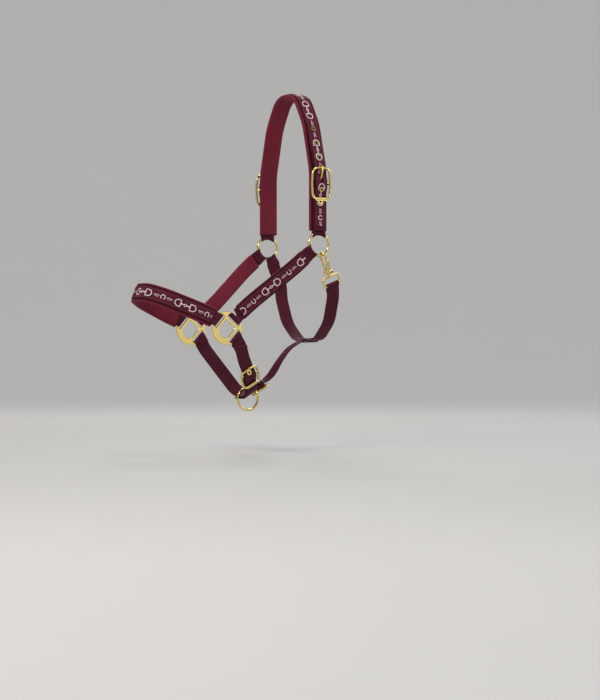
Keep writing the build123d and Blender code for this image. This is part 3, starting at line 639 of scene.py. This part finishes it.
def padding_material(name, dark, light, pitch):
    """Lining cloth: a small diagonal hatch with a soft nap, and painted shade on each roll's inner side
    next to the web.
    """
    material, net, shader = new_material(name)
    vector, along, across, lift = strap_axes(net)
    around = maths(net, "SUBTRACT", across, lift)
    one = wave(net, maths(net, "ADD", along, around), pitch)
    two = wave(net, maths(net, "SUBTRACT", along, around), pitch)
    bold = maths(net, "POWER", one, 2.0)
    faint = maths(net, "MULTIPLY", two, 0.55)
    hatch = maths(net, "MAXIMUM", bold, faint)
    fuzz = noise(net, 1900.0, 3.0, vector)
    cloud = noise(net, 30.0, 4.0)
    shade = maths(net, "MULTIPLY_ADD", hatch, 0.4, maths(net, "MULTIPLY", cloud, 0.55))
    # painted shade: the rolls darken towards the web sewn between them; the inner faces, far below the
    # front, are left out of it
    depth = maths(net, "MULTIPLY_ADD", maths(net, "ABSOLUTE", lift), 20.0, -0.05)
    shade_distance = maths(net, "MAXIMUM", maths(net, "ABSOLUTE", across), depth)
    colour = painted_shade(net, mixed(net, shade, dark, light), shade_distance, 14.4, 13.0, 0.22)
    net.links.new(colour, shader.inputs["Base Color"])
    net.links.new(maths(net, "MULTIPLY_ADD", hatch, -0.12, 0.74), shader.inputs["Roughness"])
    bumped(net, shader, maths(net, "MULTIPLY_ADD", fuzz, 0.3, hatch), 0.0004)
    shader.inputs["Specular IOR Level"].default_value = 0.2
    shader.inputs["Sheen Weight"].default_value = 0.05
    shader.inputs["Sheen Roughness"].default_value = 0.4
    shader.inputs["Sheen Tint"].default_value = (1.0, 0.45, 0.55, 1.0)
    return material


def thread_material(name, colour, shine):
    """Sewing or embroidery thread: a tight twist with a soft shine."""
    material, net, shader = new_material(name)
    place = net.nodes.new("ShaderNodeTexCoord").outputs["Object"]
    fleck = noise(net, 1500.0, 2.0, place)
    dark = tuple(c * 0.72 for c in colour)
    net.links.new(mixed(net, fleck, dark, colour), shader.inputs["Base Color"])
    net.links.new(maths(net, "MULTIPLY_ADD", fleck, 0.2, 0.42), shader.inputs["Roughness"])
    bumped(net, shader, fleck, 0.0002)
    shader.inputs["Sheen Weight"].default_value = shine
    return material


def metal_material(name, base, deep, low, high, pits):
    """Polished plated metal: cast waves, fine wiping marks, and duller worn patches."""
    material, net, shader = new_material(name)
    place = net.nodes.new("ShaderNodeTexCoord").outputs["Object"]
    cast = noise(net, 160.0, 2.0, place)
    wear = noise(net, 420.0, 5.0, place, 0.65)
    marks = noise(net, 2400.0, 3.0, place)
    tone = maths(net, "MULTIPLY_ADD", wear, 0.7, maths(net, "MULTIPLY", cast, 0.3))
    net.links.new(mixed(net, tone, deep, base), shader.inputs["Base Color"])
    spread = maths(net, "MULTIPLY_ADD", wear, high - low, low)
    spread = maths(net, "MULTIPLY_ADD", marks, 0.06, spread)
    net.links.new(spread, shader.inputs["Roughness"])
    height = maths(net, "MULTIPLY_ADD", cast, 2.0, marks)
    bumped(net, shader, height, pits)
    shader.inputs["Metallic"].default_value = 1.0
    return material


# Both webbings carry painted shade at their edges: by default the plum web is darkened to 0.7 beyond 11.6
# mm across, and the printed band is darkened to a quarter on its turned edges past the seams (its last
# tuple).
PLUM = webbing_material("plum_webbing", (0.022, 0.0015, 0.006), (0.115, 0.009, 0.027), 0.0016, 0.02)
BAND = webbing_material(
    "burgundy_band", (0.036, 0.0026, 0.010), (0.155, 0.015, 0.036), 0.0009, 0.02, (9.7, 10.8, 0.25),
)
ROLL = padding_material("crimson_lining", (0.070, 0.004, 0.013), (0.29, 0.016, 0.044), 0.0021)
PRINT = thread_material("pale_ornament", (0.95, 0.77, 0.80), 0.3)
THREAD = thread_material("mauve_thread", (0.26, 0.07, 0.12), 0.1)
GOLD = metal_material("polished_gold", (0.93, 0.77, 0.33), (0.60, 0.43, 0.12), 0.08, 0.22, 0.000004)
STEEL = metal_material("spring_steel", (0.62, 0.62, 0.64), (0.4, 0.4, 0.42), 0.22, 0.38, 0.00002)


def finish_piece(piece, material, body, slot, *nodes):
    """Material, body and the CAD nodes that a new piece stands for; slot is not used."""
    piece.data.materials.clear()
    piece.data.materials.append(material)
    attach(piece, body)
    if nodes:
        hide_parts(*nodes)
    return piece


# ---- routes of the straps ----------------------------------------------------------------
CROWN_SIDE = [(90.0, -132.0), (66.0, -48.0), (36.0, -3.0), (14.0, PAD_THICK)]
CROWN_RADII = [90.0, 110.0, 40.0, 50.0]
STRAP_TAIL = -238.5
STRAP_SIDE = [
    (97.85, STRAP_TAIL), (95.25, STRAP_TAIL + 15), (95.25, -177.9), (100.75, -162.0),
    (100.75, -150.0), (95.25, -134.4), (95.25, -123.4), (91.25, -108.4),
]
STRAP_RADII = [40.0, 14.0, 12.0, 12.0, 14.0, 16.0, 25.0]
EYELET_HEEL, EYELET_NEXT, EYELET_STEP = 51.2, 74.2, 28.0
EYELET_PLACES = [EYELET_HEEL] + [EYELET_NEXT + EYELET_STEP * n for n in (0, 2, 3, 4)]


def crown_pad_line(end):
    corners, radii = mirrored_route([(90.0, end)] + CROWN_SIDE, CROWN_RADII)
    return planar(CROWN, corners, radii)


def crown_strap_line():
    half = [(90.0, -100.0)] + CROWN_SIDE[1:] + [(-CROWN_SIDE[-1][0], PAD_THICK)]
    corners = STRAP_SIDE + shifted(half, -1.25)[1:4]
    corners, radii = mirrored_route(corners, STRAP_RADII + CROWN_RADII[1:])
    return planar(CROWN, corners, radii)


def near_eyelets(total, places):
    """Cells under the eyelets, and in the tongue's slot, that are left open."""
    spots = places + [total - p for p in places]

    def hole(middle, along, across, lift):
        if abs(across) > 3.4:
            return False
        if any((along + STEP / 2 - p) ** 2 + across ** 2 < 9.0 for p in spots):
            return True
        return abs(across) < 2.4 and -153.0 < middle.z < -140.0
    return hole


def cheek_line(start, end):
    route = [(start, SQUARE_X), (42.0, SQUARE_X), (140.0, RING_X), (end, RING_X)]
    return planar(CHEEK, route, [150.0, 150.0])


NOSE_SIDE = [(50.0, 30.0), (25.0, 0.0)]
NOSE_RADII = [90.0, 60.0, 30.0]
NOSE_BAR_AT = (NOSE_BAR.y - NOSE_BRIDGE_Y) / cos(radians(NOSE_TILT))


def nose_line(start):
    half = [(SQUARE_X, start), (SQUARE_X, 98.0)] + NOSE_SIDE
    corners, radii = mirrored_route(half, NOSE_RADII)
    return planar(NOSE, corners, radii)


CHIN_DEPTH = 112.0
CHIN_CORNERS = [(SQUARE_X, 22.0), (30.0, 103.0), (14.0, CHIN_DEPTH)]
CHIN_RADII = [40.0, 20.0, 30.0]
CHIN_HEEL, CHIN_MID, CHIN_TOP = 13.5, 30.5, 47.5
CHIN_OVER = 3.25
CHIN_RUN = Vector((38.0, -81.0)).normalized()


def chin_point(along, out):
    """A place beside the straight part that carries the chin buckle."""
    x, y = CHIN_CORNERS[1]
    return (x + CHIN_RUN.x * along - CHIN_RUN.y * out, y + CHIN_RUN.y * along + CHIN_RUN.x * out)


def chin_vector(pair):
    return CHIN.x * pair[0] + CHIN.y * pair[1]


THROAT_CORNERS = [(RING_X, 22.0), (74.0, 66.0), (34.0, 98.0)]
THROAT_RADII = [45.0, 50.0, 45.0]


def edgewise(origin, x_dir, z_dir, corners, radii):
    """Stations of a web that bends in its own plane, faces along z_dir."""
    plane = Face(origin, x_dir, z_dir)
    stations = []
    for x, y, angle in rounded(corners, radii):
        across = plane.x * -sin(angle) + plane.y * cos(angle)
        stations.append(Station(plane.at(x, y), across, plane.z.copy()))
    return measured(stations)


def linked(*parts):
    """One run of stations from parts in order, measured afresh."""
    whole = []
    for part in parts:
        whole += part
    whole[0].along = 0.0
    return measured(whole)


def flipped(profile, base):
    """A profile turned to the other face, base millimetres from the middle."""
    return [(x, base - y) for x, y in profile]


def raised(profile, base):
    return [(x, y + base) for x, y in profile]


WEB = web_profile(WEB_WIDTH, WEB_THICK)
COVER = cover_profile(COVER_WIDTH, COVER_THICK, 0.0)
COVER_LIFT = WEB_THICK / 2 + 0.02
SEAMS = (-9.1, 9.1)        # the two rows of stitches, across a printed band
FOLD_ROUND = 3.35          # centreline of a web round a bar or a ring
FOLD_REACH = 13.0          # length of web that its fold takes up
FOLD = (FOLD_ROUND, FOLD_REACH, FOLD_REACH)


# ---- crown -----------------------------------------------------------------------------
def build_crown():
    pad = sweep(
        "crown_padding", crown_pad_line(STRAP_TAIL), pad_profile(PAD_WIDTH, PAD_THICK, WEB_WIDTH, 2.0),
        soft_ends(3.0),
    )
    finish_piece(pad, ROLL, "crown", "pad", "crown_pad")

    line = crown_strap_line()
    total = line[-1].along
    hole = near_eyelets(total, EYELET_PLACES)
    web = sweep("crown_web", lifted(line, wavy(0.4, 0.08)), WEB, hole=hole)
    finish_piece(web, PLUM, "crown", "webbing", "crown_strap")
    printed = between(line, 6.5, total - 6.5)
    start = printed[0].along
    lift = COVER_LIFT
    band = sweep("crown_band", printed, raised(COVER, lift), hole=hole)
    finish_piece(band, BAND, "crown", "printed_band", "crown_cover")
    top = lift + COVER_THICK
    sewing = stitches("crown_sewing", printed, SEAMS, top - 0.1, margin=start + 1.5)
    finish_piece(sewing, THREAD, "crown", "webbing")
    return printed, top


def build_billet(way):
    """The doubled web between a cheek ring and its buckle's centre bar."""
    out, forward = ACROSS.copy(), Vector((0, -1, 0))
    up = Vector((0, 0, 1))
    low = looped_end(
        RING + up * RING_RADIUS, forward, -up, up, forward, out, FOLD_ROUND, FOLD_REACH, 34.0,
        1.02, -1.02, bow=True,
    )
    bar = Vector((CROWN_MID_X, 0, -156.15))
    high = looped_end(
        bar, forward, up, -up, forward, out, 3.0, 17.0, 51.0, 93.02 - CROWN_MID_X, 90.98 - CROWN_MID_X,
    )
    straight = [Station(Vector((93.02, 0, z)), forward, out) for z in range(-228, -173)]
    line = linked(low, straight, high[::-1])

    def slot(middle, along, across, lift):
        return abs(across) < 2.4 and middle.z > -164.0

    web_line = line if way == "left" else mirrored(line)
    web = sweep(way + "_billet_web", web_line, WEB, hole=slot)
    finish_piece(web, PLUM, "crown", "webbing", way + "_crown_billet")


def eased(length):
    """Narrows a strap's squared end by a hair, as where its cut edge is turned in."""
    def taper(along, whole):
        gap = min(along, whole - along)
        return (0.97 + 0.03 * smooth(gap / length), 1.0)
    return taper


# ---- cheeks ----------------------------------------------------------------------------
def build_cheek(way):
    out = ACROSS.copy()
    near = looped_end(
        CHEEK_BAR + ACROSS * SQUARE_X, ACROSS.cross(TO_CHEEK), -TO_CHEEK, CHEEK.x, CHEEK.z, out,
        *FOLD, wide=0.98,
    )
    ring = RING - CHEEK.x * RING_RADIUS
    far = looped_end(ring, CHEEK.z, CHEEK.x, -CHEEK.x, CHEEK.z, out, *FOLD, bow=True, wide=0.9)
    end = CHEEK_LENGTH - RING_RADIUS - FOLD_REACH
    line = linked(near, cheek_line(FOLD_REACH, end)[1:-1], far[::-1])
    place = list if way == "left" else mirrored
    web = sweep(way + "_cheek_web", place(line), WEB)
    finish_piece(web, PLUM, "headstall", "webbing", way + "_cheek_webbing")
    lining = sweep(
        way + "_cheek_padding", place(cheek_line(14.5, end - 2.0)),
        raised(pad_profile(LINING_WIDTH, LINING_THICK + 1.0, WEB_WIDTH, 1.5), -1.0), soft_ends(4.0),
    )
    finish_piece(lining, ROLL, "headstall", "pad", way + "_cheek_lining")
    printed = cheek_line(15.5, end - 3.0)
    lift = COVER_LIFT
    band = sweep(way + "_cheek_band", place(printed), raised(COVER, lift))
    finish_piece(band, BAND, "headstall", "printed_band", way + "_cheek_cover")
    top = lift + COVER_THICK
    sewing = stitches(way + "_cheek_sewing", place(printed), SEAMS, top - 0.1, margin=1.5)
    finish_piece(sewing, THREAD, "headstall", "webbing")
    return place(printed), top


# ---- noseband --------------------------------------------------------------------------
def build_noseband():
    start = NOSE_BAR_AT - FOLD_REACH
    ends = []
    for way, out in ((-1, -ACROSS), (1, ACROSS)):
        bar = NOSE_BAR + ACROSS * (SQUARE_X * way)
        ends.append(looped_end(
            bar, ACROSS.cross(-TO_CHIN) * -1, TO_CHIN, -NOSE.y, NOSE.z, out, *FOLD,
            wide=0.98, flip=True,
        ))
    line = linked(ends[0], nose_line(start)[1:-1], ends[1][::-1])
    web = sweep("noseband_web", line, WEB)
    finish_piece(web, PLUM, "headstall", "webbing", "noseband_webbing")
    padding = sweep(
        "noseband_padding", nose_line(NOSE_BAR_AT - 8.0),
        flipped(pad_profile(PAD_WIDTH, PAD_THICK, WEB_WIDTH, 2.2), 1.0), soft_ends(2.5),
    )
    finish_piece(padding, ROLL, "headstall", "pad", "noseband_pad")
    printed = nose_line(NOSE_BAR_AT - 10.5)
    lift = COVER_LIFT
    band = sweep("noseband_band", printed, flipped(COVER, -lift))
    finish_piece(band, BAND, "headstall", "printed_band", "noseband_cover")
    sewing = stitches("noseband_sewing", printed, SEAMS, -(lift + COVER_THICK - 0.1), margin=1.5)
    finish_piece(sewing, THREAD, "headstall", "webbing")
    return printed, lift + COVER_THICK


# ---- chin ------------------------------------------------------------------------------
def creases(places, height, length):
    """Soft slanting puckers across a strap, where it is drawn together at a fold."""
    def relief(along, across):
        fade = smooth((across + 12.5) / 9.0)
        return fade * sum(height * exp(-((along + 0.3 * across - p) / length) ** 2) for p in places)
    return relief


def build_chin():
    bar_dir = ACROSS.cross(TO_CHIN)
    right = looped_end(
        CHIN_BAR - ACROSS * SQUARE_X, bar_dir, -TO_CHIN, CHIN.y, CHIN.z, -ACROSS, *FOLD,
        wide=0.98,
    )
    rights = [(-x, y) for x, y in CHIN_CORNERS]
    corners = [(-SQUARE_X, 13.0)] + rights + CHIN_CORNERS[:0:-1] + [chin_point(CHIN_MID - 11.0, 0)]
    single = planar(CHIN, corners, CHIN_RADII + CHIN_RADII[:0:-1])
    out = chin_vector((-CHIN_RUN.y, CHIN_RUN.x))
    run = chin_vector(CHIN_RUN)
    mid = CHIN.at(*chin_point(CHIN_MID, 3.0))
    top = looped_end(mid, CHIN.z, run, -run, CHIN.z, out, 2.95, 11.0, 40.0, -3.0, -5.1)
    line = linked(right, single[1:-1], top[::-1])

    def slot(middle, along, across, lift):
        gap = middle - mid
        return abs(across) < 2.4 and abs(gap.dot(run)) < 9.0 and abs(gap.dot(out)) < 9.0

    web = sweep("chin_billet_web", line, WEB, hole=slot)
    finish_piece(web, PLUM, "headstall", "webbing", "chin_billet")

    over = shifted([(-40.0, CHIN_DEPTH)] + CHIN_CORNERS[::-1], CHIN_OVER)
    corners = [(-22.0, over[0][1]), over[1], over[2]]
    corners += [
        chin_point(CHIN_HEEL + 5.0, 3.3), chin_point(CHIN_MID - 4.5, 8.15),
        chin_point(CHIN_MID + 4.5, 8.15), chin_point(CHIN_TOP - 2.5, 3.3),
        chin_point(CHIN_TOP + 4.0, 3.3), chin_point(CHIN_TOP + 18.0, 0),
        (SQUARE_X, 22.0), (SQUARE_X, 13.0),
    ]
    strap = planar(CHIN, corners, [33.0, 20.0, 5.0, 5.0, 5.0, 5.0, 16.0, 16.0, 14.0])
    left = looped_end(
        CHIN_BAR + ACROSS * SQUARE_X, bar_dir, -TO_CHIN, CHIN.y, CHIN.z, ACROSS.copy(), *FOLD,
        wide=0.98,
    )
    length = strap[-1].along
    spots = (8.0, length + 6.0 - 65.2)
    line = linked(strap[:-1], left[::-1])

    def holes(middle, along, across, lift):
        """Eyelet holes, open on the side that shows."""
        near = any((along + STEP / 2 - p) ** 2 + across ** 2 < 9.0 for p in spots)
        return near and lift > 0

    puckers = creases((length - 6.0, length + 3.0), 2.0, 1.6)
    web = sweep("chin_strap_web", line, WEB, eased(3.0), hole=holes, relief=puckers)
    finish_piece(web, PLUM, "headstall", "webbing", "chin_strap")


# ---- throat and jowl straps --------------------------------------------------------------
def build_throat():
    down = DOWN_SNAP
    corners, radii = mirrored_route([(RING_X, 12.0)] + THROAT_CORNERS, THROAT_RADII)
    under = planar(THROAT, corners, radii)
    eye = looped_end(
        RING + down * EYE_BAR, ACROSS.cross(down), -down, THROAT.y, THROAT.z, ACROSS.copy(), FOLD_ROUND,
        12.0, 14.0, wide=0.98,
    )
    right = RING * Vector((-1, 1, 1))
    hang = looped_end(
        right + down * RING_RADIUS, ACROSS.cross(down), -down, down, ACROSS.cross(down), -ACROSS,
        FOLD_ROUND, 14.0, 14.0, bow=True, wide=0.72,
    )
    angle = radians(THROAT_DROP - THROAT_LEAN)
    bend = (12.0 * cos(angle), 12.0 * sin(angle))
    drop = edgewise(
        right, down, -ACROSS, [(RING_RADIUS + 14.0, 0.0), (EYE_BAR, 0.0), (EYE_BAR + bend[0], -bend[1])],
        [30.0],
    )
    for part, end in ((drop, drop[0]), (hang, hang[-1])):
        if end.width.dot(THROAT.z) < 0:
            for s in part:
                s.width = -s.width
    line = linked(hang, drop[1:-1], under[:-1], eye[::-1])
    web = sweep("throat_web", line, WEB)
    finish_piece(web, PLUM, "headstall", "webbing", "throat_strap")


JOWL_BAR = Vector((8.5, -69.5, -518.0))
JOWL_DIR = Vector((0.42, 0.73, 0.545)).normalized()
JOWL_DEPTH = Vector((-0.899, 0.418, 0.131))
JOWL_DEPTH = (JOWL_DEPTH - JOWL_DIR * JOWL_DEPTH.dot(JOWL_DIR)).normalized()


def spline(knots, per):
    """Points of a smooth curve through the knots (Catmull-Rom)."""
    points = []
    for n in range(len(knots) - 1):
        a, b = knots[max(n - 1, 0)], knots[n]
        c, d = knots[n + 1], knots[min(n + 2, len(knots) - 1)]
        for k in range(per):
            t = k / per
            square, cube = a * 2 - b * 5 + c * 4 - d, b * 3 - a - c * 3 + d
            points.append((b * 2 + (c - a) * t + square * t * t + cube * t ** 3) / 2)
    return points + [knots[-1].copy()]


def build_jowl():
    hold = JOWL_BAR + JOWL_DEPTH * 17.0 + JOWL_DIR * 2.5
    lift = Vector((0.0, 0.6, 0.8))
    away = (lift - JOWL_DIR * lift.dot(JOWL_DIR)).normalized()
    out = away.cross(JOWL_DIR)
    end = looped_end(hold, JOWL_DIR, -away, away, JOWL_DIR, out, 3.4, 11.0, 12.0)
    sleeve_mid = THROAT.at(0.0, 98.0)
    knots = [
        hold + away * 11.0, Vector((-3, -44, -492)), Vector((0, -26, -465)), Vector((0, -7, -444)),
        sleeve_mid + Vector((0, -15.0, -0.6)),
    ]
    widths = [
        JOWL_DIR, Vector((0.66, 0.58, 0.48)), Vector((0.88, 0.38, 0.28)), Vector((1, 0.1, 0)), ACROSS,
    ]
    path = spline(knots, 24)
    turns = spline([w.normalized() for w in widths], 24)
    run = []
    for n, point in enumerate(path):
        along = (path[min(n + 1, len(path) - 1)] - path[max(n - 1, 0)]).normalized()
        across = (turns[n] - along * turns[n].dot(along)).normalized()
        face = across.cross(along)
        if run and face.dot(run[-1].face) < 0 or not run and face.dot(out) < 0:
            face = -face
        run.append(Station(point, across, face))
    line = linked(end, run[1:])
    web = sweep("jowl_web", line, web_profile(18.0, 2.2, 18))
    finish_piece(web, PLUM, "headstall", "webbing", "jowl_strap")

    tilt = Face(sleeve_mid, side(THROAT_DROP), ACROSS)
    half_x, half_y, r = 14.7, 2.7, 2.6
    loop = []
    for cx, cy, start in ((half_x - r, half_y - r, 0), (r - half_x, half_y - r, 90),
                          (r - half_x, r - half_y, 180), (half_x - r, r - half_y, 270)):
        for k in range(7):
            a = radians(start + 15 * k)
            radial = tilt.x * cos(a) + tilt.y * sin(a)
            loop.append(Station(tilt.at(cx, cy) + radial * r, ACROSS.copy(), radial))
    loop = measured(loop)
    sleeve = sweep("jowl_sleeve", loop, web_profile(18.6, 2.0, 12), closed=True)
    finish_piece(sleeve, PLUM, "headstall", "webbing")


# ---- metal, threads and ornaments ----------------------------------------------------------
def dress_metal():
    frame_slots = {part["node"]: part["material_slot"] for part in frame["record"]["subparts"]}
    for name, node in frame["nodes"].items():
        kind = frame_slots.get(name)
        if kind in ("fittings", "eyelets", "spring_steel"):
            node.data.materials.clear()
            node.data.materials.append(STEEL if kind == "spring_steel" else GOLD)


def pattern(total, first):
    """Places for the two ornaments, in turn, all along a strap; first is a snaffle's middle."""
    period = 81.0
    places = []
    n = -ceil(first / period) - 1
    while first + n * period < total + 30:
        places.append((first + n * period, bit_lines()))
        places.append((first + (n + 0.5) * period, shoe_lines()))
        n += 1
    return places


def rebased(stations):
    """The same stations measured from their own start."""
    start = stations[0].along
    result = [s.copy() for s in stations]
    for s in result:
        s.along -= start
    return result


def decorate(name, body, line, first, top, side=1, gaps=()):
    mark = ornament(name, line, pattern(line[-1].along, first), top, side, gaps)
    finish_piece(mark, PRINT, body, "printed_band")


def decorate_crown(printed, top):
    """The crown's ornament, left bare round its eyelets and the tongues' slots."""
    line = rebased(printed)
    total, start = line[-1].along, printed[0].along
    gaps = [(place - start, 4.6) for place in EYELET_PLACES] + [(EYELET_NEXT + 19.0 - start, 8.5)]
    gaps += [(total - place, reach) for place, reach in gaps]
    decorate("crown_ornament", "crown", line, total - 57.0, top, gaps=gaps)


crown_line, crown_top = build_crown()
build_billet("left")
build_billet("right")
cheeks = {way: build_cheek(way) for way in ("left", "right")}
noseband_line, noseband_top = build_noseband()
build_chin()
build_throat()
build_jowl()
dress_metal()
decorate_crown(crown_line, crown_top)
for way, (cheek, cheek_top) in cheeks.items():
    decorate(way + "_cheek_ornament", "headstall", cheek, 71.4, cheek_top)
decorate("noseband_ornament", "headstall", noseband_line, 1.2, noseband_top, -1)


# ---- floor, light and camera ---------------------------------------------------------------
def build_stage():
    """A pale floor that curves up all round into a low wall."""
    floor_z, flat, curve, wall = -0.63, 5.0, 3.0, 0.4
    profile = [(0.0, floor_z)] + [(flat * k / 6, floor_z) for k in range(1, 7)]
    profile += [
        (flat + curve * sin(radians(6 * k)), floor_z + curve * (1 - cos(radians(6 * k))))
        for k in range(1, 16)
    ]
    profile.append((flat + curve, floor_z + curve + wall))
    turns = 96
    points, faces = [Vector((0, 0, floor_z))], []
    for r, z in profile[1:]:
        for k in range(turns):
            angle = 2 * pi * k / turns
            points.append(Vector((r * cos(angle), r * sin(angle), z)))
    for k in range(turns):
        faces.append((0, 1 + k, 1 + (k + 1) % turns))
    for n in range(len(profile) - 2):
        a, b = 1 + n * turns, 1 + (n + 1) * turns
        for k in range(turns):
            m = (k + 1) % turns
            faces.append((a + k, b + k, b + m, a + m))
    mesh = bpy.data.meshes.new("studio_floor")
    mesh.from_pydata([tuple(p) for p in points], [], faces)
    mesh.shade_smooth()
    floor = bpy.data.objects.new("studio_floor", mesh)
    bpy.context.scene.collection.objects.link(floor)
    material, net, shader = new_material("pale_floor")
    cloud = noise(net, 1.3, 2.0)
    colour = mixed(net, cloud, (0.50, 0.49, 0.475), (0.54, 0.53, 0.515))
    net.links.new(colour, shader.inputs["Base Color"])
    shader.inputs["Roughness"].default_value = 0.85
    place = net.nodes.new("ShaderNodeSeparateXYZ")
    net.links.new(net.nodes.new("ShaderNodeNewGeometry").outputs["Position"], place.inputs[0])
    square = maths(net, "MULTIPLY", place.outputs[0], place.outputs[0])
    square = maths(net, "MULTIPLY_ADD", place.outputs[1], place.outputs[1], square)
    reach = net.nodes.new("ShaderNodeMapRange")
    reach.interpolation_type = "SMOOTHSTEP"
    reach.inputs["From Min"].default_value = 0.8
    reach.inputs["From Max"].default_value = 4.6
    reach.inputs["To Max"].default_value = 0.22
    net.links.new(maths(net, "SQRT", square), reach.inputs["Value"])
    net.links.new(reach.outputs[0], shader.inputs["Emission Strength"])
    shader.inputs["Emission Color"].default_value = (1.0, 0.99, 0.97, 1.0)
    mesh.materials.append(material)


def lamp(name, place, aim, size, power, colour):
    data = bpy.data.lights.new(name, "AREA")
    data.shape = "RECTANGLE"
    data.size, data.size_y = size
    data.energy = power
    data.color = colour
    piece = bpy.data.objects.new(name, data)
    piece.location = place
    piece.rotation_mode = "QUATERNION"
    piece.rotation_quaternion = (Vector(aim) - Vector(place)).to_track_quat("-Z", "Y")
    bpy.context.scene.collection.objects.link(piece)


def build_lights():
    middle = (0.0, -0.12, -0.28)
    lamp("key", (2.0, -2.5, 1.6), middle, (0.8, 0.8), 60, (1.0, 0.97, 0.93))
    lamp("panel", (2.6, 1.6, 0.3), middle, (1.5, 1.5), 5.5, (1.0, 0.98, 0.95))
    lamp("fill", (0.9, 2.7, 1.2), middle, (1.2, 1.2), 20, (0.92, 0.96, 1.0))
    lamp("rim", (-2.2, 1.0, 1.7), middle, (1.0, 1.0), 34, (1.0, 0.98, 0.95))
    lamp("top", (0.3, -0.2, 2.3), middle, (1.0, 1.0), 22, (1.0, 1.0, 1.0))
    world = bpy.data.worlds.new("studio")
    bpy.context.scene.world = world
    world.use_nodes = True
    net = world.node_tree
    split = net.nodes.new("ShaderNodeSeparateXYZ")
    net.links.new(net.nodes.new("ShaderNodeTexCoord").outputs["Generated"], split.inputs[0])
    ramp = net.nodes.new("ShaderNodeValToRGB")
    ramp.color_ramp.elements[0].position = 0.45
    ramp.color_ramp.elements[0].color = (0.30, 0.30, 0.32, 1)
    ramp.color_ramp.elements[1].position = 0.95
    ramp.color_ramp.elements[1].color = (0.95, 0.97, 1.0, 1)
    net.links.new(maths(net, "MULTIPLY_ADD", split.outputs[2], 0.5, 0.5), ramp.inputs[0])
    net.links.new(ramp.outputs[0], net.nodes["Background"].inputs["Color"])
    net.nodes["Background"].inputs["Strength"].default_value = 0.38


def build_camera():
    """A level camera, 60 degrees round from the front to the left side."""
    round_by, distance, view_height = radians(60), 4.0, 1.225
    back = Vector((sin(round_by), -cos(round_by), 0))
    right = Vector((cos(round_by), sin(round_by), 0))
    aim = RING * MM + right * -0.0327 + Vector((0, 0, -0.1846))
    data = bpy.data.cameras.new("camera")
    data.sensor_width = 36.0
    data.lens = data.sensor_width * distance / view_height
    camera = bpy.data.objects.new("camera", data)
    camera.location = aim + back * distance
    camera.rotation_mode = "QUATERNION"
    camera.rotation_quaternion = (-back).to_track_quat("-Z", "Y")
    bpy.context.scene.collection.objects.link(camera)
    bpy.context.scene.camera = camera


build_stage()
build_lights()
build_camera()
bpy.context.scene.view_settings.view_transform = "Standard"
